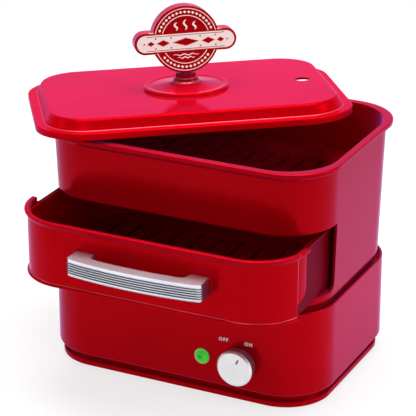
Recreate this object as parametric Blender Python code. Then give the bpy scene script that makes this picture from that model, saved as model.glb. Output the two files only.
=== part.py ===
"""Countertop hot dog steamer: a heated base, a lift-off steaming housing with a bun
compartment, a pull-out sausage drawer and a loose lid with a sign-shaped finial.

Metres, +Z up. +X runs to the right along the front, which faces -Y. The origin is the
middle of the base's underside. The drawer stands part open, the lid lies turned and
leaning on the housing's rim, and the switch is at ON.
"""

import math

import bmesh
import bpy
import numpy as np
from mathutils import Matrix, Vector

# Outline that base and housing share
BODY_LENGTH = 0.334
BODY_DEPTH = 0.241
BODY_CORNER = 0.0578
SEAT_GAP = 0.0003
RUN_GAP = 0.0008
CUT_OVERRUN = 0.002
CORNER_STEPS = 8
ROUND_STEPS = 24

# Base casing
BASE_TOP = 0.1125
BASE_WALL = 0.0026
BASE_EDGE = 0.0149
BASE_CURL = 0.0028
BASE_LIP_BEVEL = 0.0008
SHELF_DROP = 0.0085
SHELF_THICKNESS = 0.003
SHELF_WIDTH = 0.0264
BOSS_RADIUS = 0.005
BOSS_INSET = 0.021
BOSS_SPACING_Y = 0.110
PILOT_RADIUS = 0.0023
PILOT_DEPTH = 0.012

# Bottom cover, its feet and screws
PLINTH_INSET = 0.0044
PLINTH_HEIGHT = 0.006
GROOVE_INSET = 0.011
UPSTAND_LAP = 0.010
COVER_WALL = 0.0025
COVER_BOSS_RADIUS = 0.0065
FOOT_RADIUS = 0.010
FOOT_THICKNESS = 0.0012
FOOT_INSET_X = 0.037
FOOT_INSET_Y = 0.040
SCREW_RADIUS = 0.0019
SCREW_HEAD_RADIUS = 0.0038
SCREW_HEAD_HEIGHT = 0.0022
SCREW_HEAD_SHARES = ((0.75, 0.0), (1.0, 0.4), (1.0, 1.0))
SCREW_TIP_SHARE = 0.3
SCREW_BITE = 0.009
SCREW_RECESS = 0.0008
VENT_LENGTH = 0.060
VENT_WIDTH = 0.003
VENT_PITCH = 0.009
VENT_COUNT = 5
VENT_OFFSET_Y = 0.050

# Water tray and heater
TRAY_FLANGE_INSET = 0.0135
TRAY_SHEET = 0.0015
TRAY_DEPTH = 0.026
TRAY_FOOT_RADIUS = 0.008
ELEMENT_RADIUS = 0.0035
ELEMENT_SPREAD = 0.070
ELEMENT_LEG = 0.130
ELEMENT_TAIL = 0.012
ELEMENT_BEND = 0.010
THERMOSTAT_RADIUS = 0.009
THERMOSTAT_HEIGHT = 0.011
THERMOSTAT_FLANGE = 0.0125
THERMOSTAT_FLANGE_HEIGHT = 0.0012

# Switch and knob
SWITCH_INSET_X = 0.0862
CONTROL_HEIGHT = 0.0462
SWITCH_WIDTH = 0.028
SWITCH_DEPTH = 0.022
BUSHING_RADIUS = 0.0045
BUSHING_LENGTH = 0.0035
SHAFT_RADIUS = 0.0027
SHAFT_DEPTH_IN = 0.012
SHAFT_BORE_CLEARANCE = 0.0004
NUT_RADIUS = 0.0072
NUT_THICKNESS = 0.0016
KNOB_RADIUS = 0.0207
KNOB_DEPTH = 0.0148
KNOB_STANDOFF = 0.0009
KNOB_CHAMFER = 0.0022
KNOB_TAPER = 0.0010
KNOB_HOLLOW_RADIUS = 0.010
KNOB_HOLLOW_DEPTH = 0.0038
KNOB_FACE = 0.0035
KNOB_DISH = 0.0006

# Lamp
LAMP_SPACING = 0.0445
LAMP_RADIUS = 0.0092
LAMP_FLANGE = 0.0018
BEZEL_BEVEL = 0.0008
LAMP_BARREL_RADIUS = 0.0066
LAMP_BARREL_LENGTH = 0.012
LENS_RADIUS = 0.0072
LENS_LEDGE = 0.0007
LENS_EDGE = 0.0009
LENS_DOME = 0.0034
LENS_WALL = 0.0010
LENS_STEM_RADIUS = 0.0054
LENS_STEM_LENGTH = 0.006
LAMP_PLUG_LENGTH = 0.004
LAMP_PLUG_HEAD = 0.0015
BULB_RADIUS = 0.0022
BULB_LENGTH = 0.0065
CLIP_RADIUS = 0.0086
CLIP_THICKNESS = 0.0014

# Terminal block, cord gland and internal wires
TERMINAL_LENGTH = 0.036
TERMINAL_DEPTH = 0.016
TERMINAL_HEIGHT = 0.014
TERMINAL_INSET_Y = 0.034
GLAND_INSET_X = 0.072
GLAND_HEIGHT = 0.036
GLAND_RADIUS = 0.0070
GLAND_FLANGE_RADIUS = 0.0105
GLAND_FLANGE = 0.0025
GLAND_BEVEL = 0.0015
GLAND_LENGTH = 0.016
GLAND_BORE = 0.0040
WIRE_RADIUS = 0.0011
WIRE_STEPS = 4

# Housing
HOUSING_BOTTOM = 0.1172
HOUSING_INSET_LOW = 0.0044
HOUSING_INSET_HIGH = 0.0004
HOUSING_CORNER = 0.0580
HOUSING_WALL = 0.003
HOUSING_EDGE = 0.0012
COLLAR_INSET = 0.0085
COLLAR_WALL = 0.0028
RIM_TOP = 0.274
RIM_HEIGHT = 0.0052
RIM_COVE = 0.0046
COVE_SHARES = (0.3, 0.35)
RIM_OVERHANG = 0.0045
RIM_BEVEL = 0.0012
RACK_LEDGE_TOP = 0.2115
RACK_LEDGE_WIDTH = 0.010
LEDGE_THICKNESS = 0.0028
SILL_TOP = 0.1254
RAIL_WIDTH = 0.022
BAY_TOP = 0.2022
POST_SETBACK = 0.0625
BAY_CORNER = 0.008

# Bun rack
RACK_SHEET = 0.0022
RACK_BORDER = 0.006
RACK_BORDER_WALL = 0.002
RACK_SLOT_WIDTH = 0.0036
RACK_SLOT_LENGTH = 0.042
RACK_SLOT_PITCH_X = 0.020
RACK_SLOT_PITCH_Y = 0.056

# Drawer
DRAWER_OPEN = 0.0724
DRAWER_TOP = 0.2014
DRAWER_SETBACK = 0.0012
FRONT_GAP = 0.0020
DRAWER_CORNER = 0.0565
FRONT_WALL = 0.0022
FRONT_END_ANGLE = 73.0
LIP_REACH = 0.0032
LIP_HEIGHT = 0.0042
LIP_SHARES = ((0.7, 0.0), (1.0, 0.3))
BEAD_REACH = 0.0022
BEAD_HEIGHT = 0.0026
PANEL_BEVEL = 0.0007
WING_RECESS = 0.0011
WING_START = 0.0006
WING_LIFT = 0.0168
WING_SLOPE = 0.0100
WING_TAIL_SHARE = 0.3
WING_REAR_GAP = 0.0012
SIDE_STEP = 0.0072
SIDE_DROP = 0.0046
DRAWER_WALL = 0.0022
DRAWER_FLOOR = 0.0025
DRAWER_FLANGE = 0.0026
DRAWER_FLANGE_HEIGHT = 0.0022
DRAWER_REAR_GAP = 0.0030
DRAWER_REAR_CORNER = 0.046
DRAWER_SLOT_WIDTH = 0.0036
DRAWER_SLOT_LENGTH = 0.044
DRAWER_SLOT_PITCH_X = 0.0256
DRAWER_SLOT_PITCH_Y = 0.060

# Handle
HANDLE_LENGTH = 0.157
HANDLE_HEIGHT = 0.0192
HANDLE_MIDDLE = 0.1655
HANDLE_REACH = 0.0218
HANDLE_BOW = 0.0060
HANDLE_BAR = 0.0085
HANDLE_ARM = 0.0215
HANDLE_CORNER = 0.0045
HANDLE_FILLET = 0.0065
GROOVE_COUNT = 5
GROOVE_DEPTH = 0.0008
GROOVE_WIDTH = 0.0011
GROOVE_PITCH = 0.0027
GROOVE_FIRST = 0.0052
HANDLE_EDGE = 0.0010
HANDLE_SCREW_BITE = 0.009

# Lid
LID_TURN = 34.2
LID_SHIFT_X = -0.0635
LID_SHIFT_Y = 0.0423
LID_WALL = 0.0036
LID_SKIRT_WALL = 0.0025
LID_CORNER = 0.0610
LID_SKIRT = 0.0074
LID_EDGE = 0.0012
LID_LEDGE = 0.0104
LID_SHOULDER = 0.0044
LID_PANEL_ROUND = 0.0032
LID_RISE = 0.0121
LID_RISE_ROUND = 0.0030
LID_CLEARANCE = 0.0005
LID_CONTACT_GAP = 0.0004
RIM_SAMPLE = 0.0006
STEAM_HOLE_X = 0.1333
STEAM_HOLE_RADIUS = 0.0076

# Finial and sign
SAUCER_RADIUS = 0.0479
SAUCER_EDGE = 0.0036
SAUCER_RISE = 0.0030
SAUCER_SHARES = ((0.62, 0.2), (0.43, 0.6))
COLLAR_RADIUS = 0.0137
NECK_RADIUS = 0.0113
COLLAR_HEIGHT = 0.0110
NECK_HEIGHT = 0.0172
SIGN_RADIUS = 0.0382
SIGN_THICKNESS = 0.0180
SIGN_HEIGHT = 0.0568
SIGN_TURN = 3.0
LOBE_RADIUS = 0.0124
LOBE_REACH = 0.0580
LOBE_DROP = 0.0026
SIGN_BEVEL = 0.0012
SIGN_RING_RADIUS = 0.0352
SIGN_RING_WIDTH = 0.0014
BANNER_RADIUS = 0.0096
BANNER_LINE = 0.0014
INLAY_HEIGHT = 0.0008
LID_SCREW_RADIUS = 0.0024
LID_SCREW_HEAD = 0.0050
LID_SCREW_HEAD_HEIGHT = 0.0030
LID_SCREW_BITE = 0.014
WASHER_RADIUS = 0.0080
WASHER_THICKNESS = 0.0010

# Colour, roughness and metallic value of each finish
FINISHES = {
    "red gloss": ((0.52, 0.003, 0.014), 0.16, 0.0),
    "cream": ((0.78, 0.70, 0.62), 0.35, 0.0),
    "silver grey": ((0.72, 0.70, 0.76), 0.30, 0.0),
    "black plastic": ((0.02, 0.02, 0.022), 0.45, 0.0),
    "rubber": ((0.03, 0.03, 0.03), 0.85, 0.0),
    "aluminium": ((0.62, 0.62, 0.63), 0.38, 1.0),
    "steel": ((0.60, 0.60, 0.61), 0.30, 1.0),
    "nickel": ((0.45, 0.43, 0.42), 0.42, 1.0),
    "green lens": ((0.06, 0.50, 0.02), 0.12, 0.0),
    "clear glass": ((0.85, 0.80, 0.72), 0.05, 0.0),
    "white nylon": ((0.75, 0.75, 0.72), 0.50, 0.0),
    "wire sleeve": ((0.80, 0.78, 0.70), 0.60, 0.0),
    "brass": ((0.72, 0.50, 0.18), 0.35, 1.0),
}


def clear_scene():
    for old in list(bpy.data.objects):
        bpy.data.objects.remove(old, do_unlink=True)


def paint(obj, finish):
    """Gives the object its own Principled material in the named finish."""
    colour, roughness, metallic = FINISHES[finish]
    material = bpy.data.materials.new(obj.name)
    material.use_nodes = True
    shader = material.node_tree.nodes["Principled BSDF"]
    shader.inputs["Base Color"].default_value = (*colour, 1.0)
    shader.inputs["Roughness"].default_value = roughness
    shader.inputs["Metallic"].default_value = metallic
    material.diffuse_color = (*colour, 1.0)
    obj.data.materials.append(material)


def link(name, data, parent, finish):
    obj = bpy.data.objects.new(name, data)
    bpy.context.scene.collection.objects.link(obj)
    obj.parent = parent
    if finish:
        paint(obj, finish)
    return obj


def empty(name, matrix, parent=None):
    """A joint's frame: it stands on the joint's axis and carries the moving pieces."""
    obj = bpy.data.objects.new(name, None)
    bpy.context.scene.collection.objects.link(obj)
    obj.parent = parent
    obj.matrix_local = matrix
    return obj


def mesh_object(name, bm, parent, finish, smooth=True):
    bmesh.ops.remove_doubles(bm, verts=bm.verts, dist=1e-7)
    bmesh.ops.recalc_face_normals(bm, faces=bm.faces)
    mesh = bpy.data.meshes.new(name)
    bm.to_mesh(mesh)
    bm.free()
    if smooth:
        mesh.shade_smooth()
        mesh.set_sharp_from_angle(angle=math.radians(35))
    return link(name, mesh, parent, finish)


def arc(centre, radius, start, end, steps):
    """Points of an arc in a plane, angles in degrees."""
    angles = [math.radians(start + (end - start) * i / steps) for i in range(steps + 1)]
    return [(centre[0] + radius * math.cos(a), centre[1] + radius * math.sin(a)) for a in angles]


def rounded_outline(half_x, half_y, corner, steps=CORNER_STEPS):
    """Rounded rectangle, counter-clockwise from the right side's upper end."""
    points = []
    for sign_x, sign_y, start in ((1, 1, 0), (-1, 1, 90), (-1, -1, 180), (1, -1, 270)):
        centre = (sign_x * (half_x - corner), sign_y * (half_y - corner))
        points += arc(centre, corner, start, start + 90, steps)
    return points


def body_outline(inset):
    """The base's outline, moved inwards."""
    return rounded_outline(BODY_LENGTH / 2 - inset, BODY_DEPTH / 2 - inset, BODY_CORNER - inset)


def housing_outline(inset):
    """The housing's outline: its outer faces keep one corner radius up to the rim."""
    corner = HOUSING_CORNER - max(inset - HOUSING_INSET_LOW, 0.0)
    return rounded_outline(BODY_LENGTH / 2 - inset, BODY_DEPTH / 2 - inset, corner)


def add_loft(bm, rings, ring_shape="closed", ends="caps"):
    """Skins a row of rings that have one point count. ends: caps, or joined for a hoop."""
    rows = [[bm.verts.new(point) for point in ring] for ring in rings]
    pairs = list(zip(rows, rows[1:]))
    if ends == "joined":
        pairs.append((rows[-1], rows[0]))
    count = len(rows[0])
    last = count if ring_shape == "closed" else count - 1
    for low, high in pairs:
        for i in range(last):
            j = (i + 1) % count
            bm.faces.new((low[i], low[j], high[j], high[i]))
    if ends == "caps":
        bm.faces.new(list(reversed(rows[0])))
        bm.faces.new(rows[-1])


def loft(name, rings, parent, finish, ends="caps"):
    bm = bmesh.new()
    add_loft(bm, rings, ends=ends)
    return mesh_object(name, bm, parent, finish)


def level(outline, z):
    return [(x, y, z) for x, y in outline]


def turned(name, profile, parent, finish, matrix=Matrix.Identity(4), steps=ROUND_STEPS, joined=False):
    """Body of revolution about Z from (radius, height) points. A hoop's profile is joined."""
    bm = bmesh.new()
    rings = []
    for radius, height in profile:
        ring = [
            matrix @ Vector((radius * math.cos(a), radius * math.sin(a), height))
            for a in (2 * math.pi * i / steps for i in range(steps))
        ]
        rings.append(ring)
    add_loft(bm, rings, ends="joined" if joined else "caps")
    return mesh_object(name, bm, parent, finish)


def prism(name, outline, low, high, parent, finish, matrix=Matrix.Identity(4)):
    """Straight extrusion of a plane outline along Z, then placed by a matrix."""
    rings = [[matrix @ Vector((x, y, z)) for x, y in outline] for z in (low, high)]
    return loft(name, rings, parent, finish)


def box_outline(x0, x1, y0, y1):
    return [(x0, y0), (x1, y0), (x1, y1), (x0, y1)]


def as_tool(obj):
    obj.hide_render = True
    obj.display_type = "WIRE"
    return obj


def combine(target, tool, operation):
    as_tool(tool)
    modifier = target.modifiers.new(f"{operation.lower()} {tool.name}", "BOOLEAN")
    modifier.operation = operation
    modifier.solver = "EXACT"
    modifier.object = tool


def cut(target, tool):
    combine(target, tool, "DIFFERENCE")


def add(target, tool):
    combine(target, tool, "UNION")


def many_prisms(name, outlines, low, high, parent, matrix=Matrix.Identity(4)):
    """Several extrusions in one cutter."""
    bm = bmesh.new()
    for outline in outlines:
        add_loft(bm, [[matrix @ Vector((x, y, z)) for x, y in outline] for z in (low, high)])
    return mesh_object(name, bm, parent, None, smooth=False)


def circle(x, y, radius, steps=ROUND_STEPS):
    return arc((x, y), radius, 0, 360 - 360 / steps, steps - 1)


def slot_outline(x, y, width, length, steps=3):
    """Round-ended slot along Y."""
    reach = length / 2 - width / 2
    top = arc((x, y + reach), width / 2, 0, 180, steps)
    return top + arc((x, y - reach), width / 2, 180, 360, steps)


def dome(radius, rise, start, steps):
    """(radius, height) points of a round crown, up to a small flat at its top."""
    angles = [math.radians(75 * i / steps) for i in range(steps + 1)]
    return [(radius * math.cos(a), start + rise * math.sin(a)) for a in angles]


def pattern(span, pitch):
    """Places of a centred row with the given pitch that fits within the span."""
    count = max(1, int(span / pitch) + 1)
    return [(i - (count - 1) / 2) * pitch for i in range(count)]


# Places that several pieces share
SWITCH_X = BODY_LENGTH / 2 - SWITCH_INSET_X
LAMP_X = SWITCH_X - LAMP_SPACING
GLAND_X = BODY_LENGTH / 2 - GLAND_INSET_X
SHELF_TOP = BASE_TOP - SHELF_DROP
FRONT_FACE = -BODY_DEPTH / 2
BACK_FACE = BODY_DEPTH / 2
UPSTAND_TOP = BASE_EDGE + UPSTAND_LAP
TRAY_FLOOR = SHELF_TOP - TRAY_DEPTH
BOSS_PLACES = [
    (sx * (BODY_LENGTH / 2 - BOSS_INSET), sy * BOSS_SPACING_Y / 2) for sx in (1, -1) for sy in (1, -1)
]
FOOT_PLACES = [
    (sx * (BODY_LENGTH / 2 - FOOT_INSET_X), sy * (BODY_DEPTH / 2 - FOOT_INSET_Y))
    for sx in (1, -1)
    for sy in (1, -1)
]
TERMINAL_Y = BACK_FACE - TERMINAL_INSET_Y
FRONT_AXIS = Matrix.Rotation(math.radians(90), 4, "X")


def front_matrix(x, z, y=FRONT_FACE):
    """Turns local +Z towards the viewer, with its start on the given plane."""
    return Matrix.Translation((x, y, z)) @ FRONT_AXIS


def make_base_casing(parent):
    """Drawn red shell: curled lower edge, bright upper lip and the shelf inside it."""
    inner_shelf = BASE_WALL + SHELF_WIDTH
    curl = arc((BASE_CURL, BASE_EDGE + BASE_CURL), BASE_CURL, 270, 180, 3)
    profile = curl + [
        (0.0, BASE_TOP - BASE_LIP_BEVEL),
        (BASE_LIP_BEVEL, BASE_TOP),
        (BASE_WALL, BASE_TOP),
        (BASE_WALL, SHELF_TOP),
        (inner_shelf, SHELF_TOP),
        (inner_shelf, SHELF_TOP - SHELF_THICKNESS),
        (BASE_WALL, SHELF_TOP - SHELF_THICKNESS),
        (BASE_WALL, BASE_EDGE + BASE_CURL),
        (BASE_CURL, BASE_EDGE + BASE_WALL / 2),
    ]
    rings = [level(body_outline(i), z) for i, z in profile]
    casing = loft("base_casing", rings, parent, "red gloss", "joined")
    boss_low = PLINTH_HEIGHT + SEAT_GAP
    boss_top = SHELF_TOP - SHELF_THICKNESS / 2
    bosses = [circle(x, y, BOSS_RADIUS, 12) for x, y in BOSS_PLACES]
    add(casing, many_prisms("casing_boss_stock", bosses, boss_low, boss_top, parent))
    pilots = [circle(x, y, PILOT_RADIUS, 12) for x, y in BOSS_PLACES]
    cut(casing, many_prisms("pilot_cutter", pilots, boss_low - CUT_OVERRUN, boss_low + PILOT_DEPTH, parent))
    hole = BUSHING_RADIUS + SEAT_GAP
    lamp_hole = LAMP_BARREL_RADIUS + SEAT_GAP
    holes = [circle(SWITCH_X, CONTROL_HEIGHT, hole), circle(LAMP_X, CONTROL_HEIGHT, lamp_hole)]
    through = BASE_WALL + CUT_OVERRUN
    cut(casing, many_prisms("control_cutter", holes, -through, CUT_OVERRUN, parent, front_matrix(0, 0)))
    gland = [circle(GLAND_X, GLAND_HEIGHT, GLAND_RADIUS + SEAT_GAP)]
    back_plane = front_matrix(0, 0, BACK_FACE)
    cut(casing, many_prisms("gland_cutter", gland, -CUT_OVERRUN, through, parent, back_plane))


def make_bottom_cover(parent):
    """Red dish that closes the casing and stands on the worktop as a plinth."""
    inner = GROOVE_INSET + COVER_WALL
    profile = [
        (PLINTH_INSET, 0.0),
        (PLINTH_INSET, PLINTH_HEIGHT),
        (GROOVE_INSET, PLINTH_HEIGHT),
        (GROOVE_INSET, UPSTAND_TOP),
        (inner, UPSTAND_TOP),
        (inner, COVER_WALL),
    ]
    cover = loft("bottom_cover", [level(body_outline(i), z) for i, z in profile], parent, "red gloss")
    bosses = [circle(x, y, COVER_BOSS_RADIUS, 12) for x, y in BOSS_PLACES]
    add(cover, many_prisms("cover_boss_stock", bosses, COVER_WALL / 2, PLINTH_HEIGHT, parent))
    head_room = SCREW_RECESS + SCREW_HEAD_HEIGHT + SEAT_GAP
    heads = [circle(x, y, SCREW_HEAD_RADIUS + SEAT_GAP, 12) for x, y in BOSS_PLACES]
    cut(cover, many_prisms("head_cutter", heads, -CUT_OVERRUN, head_room, parent))
    shanks = [circle(x, y, SCREW_RADIUS + SEAT_GAP, 12) for x, y in BOSS_PLACES]
    cut(cover, many_prisms("shank_cutter", shanks, -CUT_OVERRUN, PLINTH_HEIGHT + CUT_OVERRUN, parent))
    pads = [circle(x, y, FOOT_RADIUS + SEAT_GAP) for x, y in FOOT_PLACES]
    cut(cover, many_prisms("foot_cutter", pads, -CUT_OVERRUN, FOOT_THICKNESS + SEAT_GAP, parent))
    rows = [(i - (VENT_COUNT - 1) / 2) * VENT_PITCH for i in range(VENT_COUNT)]
    vents = [slot_outline(x, sy * VENT_OFFSET_Y, VENT_WIDTH, VENT_LENGTH) for x in rows for sy in (1, -1)]
    cut(cover, many_prisms("vent_cutter", vents, -CUT_OVERRUN, COVER_WALL + CUT_OVERRUN, parent))
    for i, (x, y) in enumerate(FOOT_PLACES, start=1):
        prism(f"rubber_foot_{i}", circle(x, y, FOOT_RADIUS), 0.0, FOOT_THICKNESS, parent, "rubber")
    for i, (x, y) in enumerate(BOSS_PLACES, start=1):
        tip = PLINTH_HEIGHT + SEAT_GAP + SCREW_BITE
        make_screw(f"cover_screw_{i}", Matrix.Translation((x, y, SCREW_RECESS)), tip - SCREW_RECESS, parent)


def make_screw(name, matrix, length, parent, finish="steel"):
    """Pan-head screw, its head's outer face at local zero and its tip along +Z."""
    profile = [(SCREW_HEAD_RADIUS * r, SCREW_HEAD_HEIGHT * h) for r, h in SCREW_HEAD_SHARES]
    profile += [
        (SCREW_RADIUS, SCREW_HEAD_HEIGHT),
        (SCREW_RADIUS, length - SCREW_RADIUS),
        (SCREW_RADIUS * SCREW_TIP_SHARE, length),
    ]
    return turned(name, profile, parent, finish, matrix, steps=12)


def make_water_tray(parent):
    """Pressed aluminium tray that boils the water, hung in the shelf by its flange."""
    wall = BASE_WALL + SHELF_WIDTH + RUN_GAP
    low = SHELF_TOP + SEAT_GAP
    top = low + TRAY_SHEET
    profile = [
        (wall + TRAY_FOOT_RADIUS, TRAY_FLOOR),
        (wall, TRAY_FLOOR + TRAY_FOOT_RADIUS),
        (wall, low),
        (TRAY_FLANGE_INSET, low),
        (TRAY_FLANGE_INSET, top),
        (wall + TRAY_SHEET, top),
        (wall + TRAY_SHEET, TRAY_FLOOR + TRAY_FOOT_RADIUS + TRAY_SHEET / 2),
        (wall + TRAY_SHEET + TRAY_FOOT_RADIUS, TRAY_FLOOR + TRAY_SHEET),
    ]
    loft("water_tray", [level(body_outline(i), z) for i, z in profile], parent, "aluminium")


def tube(name, points, radius, parent, finish, resolution=2):
    """Round tube with filled caps along a row of points."""
    curve = bpy.data.curves.new(name, "CURVE")
    curve.dimensions = "3D"
    curve.bevel_depth = radius
    curve.bevel_resolution = resolution
    curve.use_fill_caps = True
    spline = curve.splines.new("POLY")
    spline.points.add(len(points) - 1)
    for place, point in zip(spline.points, points):
        place.co = (*point, 1.0)
    return link(name, curve, parent, finish)


def make_heater(parent):
    """Sheathed element, a horseshoe brazed below the tray, and the thermostat between its legs."""
    z = TRAY_FLOOR - SEAT_GAP - ELEMENT_RADIUS
    half = ELEMENT_SPREAD / 2
    end = ELEMENT_LEG / 2
    bend = arc((end, z - ELEMENT_BEND), ELEMENT_BEND, 90, 0, 4)
    down = [(end + ELEMENT_BEND, z - ELEMENT_BEND - ELEMENT_TAIL)]
    leg = bend + down
    bow = [(x, y, z) for x, y in arc((-end, 0), half, 90, 270, 12)]
    right = [(x, half, height) for x, height in reversed(leg)]
    left = [(x, -half, height) for x, height in leg]
    tube("heating_element", right + bow + left, ELEMENT_RADIUS, parent, "nickel")
    top = TRAY_FLOOR - SEAT_GAP
    profile = [
        (THERMOSTAT_RADIUS, top - THERMOSTAT_HEIGHT),
        (THERMOSTAT_RADIUS, top - THERMOSTAT_FLANGE_HEIGHT),
        (THERMOSTAT_FLANGE, top - THERMOSTAT_FLANGE_HEIGHT),
        (THERMOSTAT_FLANGE, top),
    ]
    turned("thermostat", profile, parent, "black plastic", steps=16)


def make_switch(parent, knob_axis):
    """Rotary switch behind the casing, held by its nut; shaft and knob turn together."""
    seat = -(BASE_WALL + SEAT_GAP)
    half = SWITCH_WIDTH / 2
    place = front_matrix(SWITCH_X, CONTROL_HEIGHT)
    outline = box_outline(-half, half, -half, half)
    body = prism("power_switch", outline, seat - SWITCH_DEPTH, seat, parent, "black plastic", place)
    stem = [circle(0, 0, BUSHING_RADIUS)]
    add(body, many_prisms("bushing_stock", stem, seat - SWITCH_DEPTH / 4, BUSHING_LENGTH, parent, place))
    bore = [circle(0, 0, SHAFT_RADIUS + SHAFT_BORE_CLEARANCE)]
    depth = seat - SHAFT_DEPTH_IN - RUN_GAP
    cut(body, many_prisms("shaft_cutter", bore, depth, BUSHING_LENGTH + CUT_OVERRUN, parent, place))
    nut_top = SEAT_GAP + NUT_THICKNESS
    nut = prism("switch_nut", circle(0, 0, NUT_RADIUS, 6), SEAT_GAP, nut_top, parent, "brass", place)
    thread = [circle(0, 0, BUSHING_RADIUS + SEAT_GAP)]
    cut(nut, many_prisms("nut_cutter", thread, -CUT_OVERRUN, nut_top + CUT_OVERRUN, parent, place))
    back = KNOB_STANDOFF
    face = back + KNOB_DEPTH
    bore_end = face - KNOB_FACE
    shaft_end = bore_end - SEAT_GAP
    turned("switch_shaft", [(SHAFT_RADIUS, seat - SHAFT_DEPTH_IN), (SHAFT_RADIUS, shaft_end)],
           knob_axis, "steel", steps=16)
    bore_radius = SHAFT_RADIUS + SEAT_GAP
    profile = [
        (bore_radius, bore_end),
        (bore_radius, back + KNOB_HOLLOW_DEPTH),
        (KNOB_HOLLOW_RADIUS, back + KNOB_HOLLOW_DEPTH),
        (KNOB_HOLLOW_RADIUS, back),
        (KNOB_RADIUS - KNOB_TAPER, back),
        (KNOB_RADIUS, face - KNOB_CHAMFER),
        (KNOB_RADIUS - KNOB_CHAMFER, face),
        (KNOB_RADIUS - KNOB_CHAMFER - KNOB_DISH, face - KNOB_DISH),
    ]
    turned("knob", profile, knob_axis, "silver grey", steps=32)


def make_lamp(parent):
    """Green indicator: bezel through the wall, domed lens, bulb on its plug, push-on clip."""
    place = front_matrix(LAMP_X, CONTROL_HEIGHT)
    back = -LAMP_BARREL_LENGTH
    stem_hole = LENS_STEM_RADIUS + SEAT_GAP
    bezel = [
        (LAMP_BARREL_RADIUS, back),
        (LAMP_BARREL_RADIUS, SEAT_GAP),
        (LAMP_RADIUS, SEAT_GAP),
        (LAMP_RADIUS, SEAT_GAP + LAMP_FLANGE - BEZEL_BEVEL),
        (LAMP_RADIUS - BEZEL_BEVEL, SEAT_GAP + LAMP_FLANGE),
        (LENS_RADIUS + SEAT_GAP, SEAT_GAP + LAMP_FLANGE),
        (LENS_RADIUS + SEAT_GAP, SEAT_GAP + LENS_LEDGE),
        (stem_hole, SEAT_GAP + LENS_LEDGE),
        (stem_hole, back),
    ]
    turned("lamp_bezel", bezel, parent, "white nylon", place, joined=True)
    seat = SEAT_GAP * 2 + LENS_LEDGE
    inner = LENS_STEM_RADIUS - LENS_WALL
    lens = [
        (inner / 2, seat + LENS_DOME - LENS_WALL),
        (inner, seat),
        (inner, -LENS_STEM_LENGTH),
        (LENS_STEM_RADIUS, -LENS_STEM_LENGTH),
        (LENS_STEM_RADIUS, seat),
        (LENS_RADIUS, seat),
        *dome(LENS_RADIUS, LENS_DOME, seat + LENS_EDGE, 5),
    ]
    turned("lamp_lens", lens, parent, "green lens", place)
    plug_front = back + LAMP_PLUG_LENGTH
    plug = [
        (LAMP_BARREL_RADIUS, back - SEAT_GAP - LAMP_PLUG_HEAD),
        (LAMP_BARREL_RADIUS, back - SEAT_GAP),
        (LENS_STEM_RADIUS, back - SEAT_GAP),
        (LENS_STEM_RADIUS, plug_front),
    ]
    turned("lamp_holder", plug, parent, "black plastic", place, steps=16)
    low = plug_front + SEAT_GAP
    bulb = [(BULB_RADIUS, low), *dome(BULB_RADIUS, BULB_RADIUS, low + BULB_LENGTH - BULB_RADIUS, 3)]
    turned("neon_bulb", bulb, parent, "clear glass", place, steps=12)
    clip_front = -(BASE_WALL + SEAT_GAP)
    clip_hole = LAMP_BARREL_RADIUS + SEAT_GAP
    clip = [
        (CLIP_RADIUS, clip_front - CLIP_THICKNESS),
        (CLIP_RADIUS, clip_front),
        (clip_hole, clip_front),
        (clip_hole, clip_front - CLIP_THICKNESS),
    ]
    turned("lamp_clip", clip, parent, "steel", place, steps=16, joined=True)


def smooth_route(points, count):
    """Evenly numbered points on one smooth curve through the route's own points."""
    points = [Vector(p) for p in points]
    lengths = [(b - a).length for a, b in zip(points, points[1:])]
    slopes = [(b - a) / d for a, b, d in zip(points, points[1:], lengths)]
    tangents = [slopes[0]]
    for i in range(1, len(slopes)):
        before, after = lengths[i - 1], lengths[i]
        tangents.append((slopes[i - 1] * after + slopes[i] * before) / (before + after))
    tangents.append(slopes[-1])
    route = []
    for i, d in enumerate(lengths):
        a, b = points[i], points[i + 1]
        for t in (k / count for k in range(count)):
            ease = t * t * (3 - 2 * t)
            start = tangents[i] * (d * t * (1 - t) ** 2)
            end = tangents[i + 1] * (d * t * t * (1 - t))
            route.append(a + (b - a) * ease + start - end)
    return route + [points[-1]]


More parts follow.
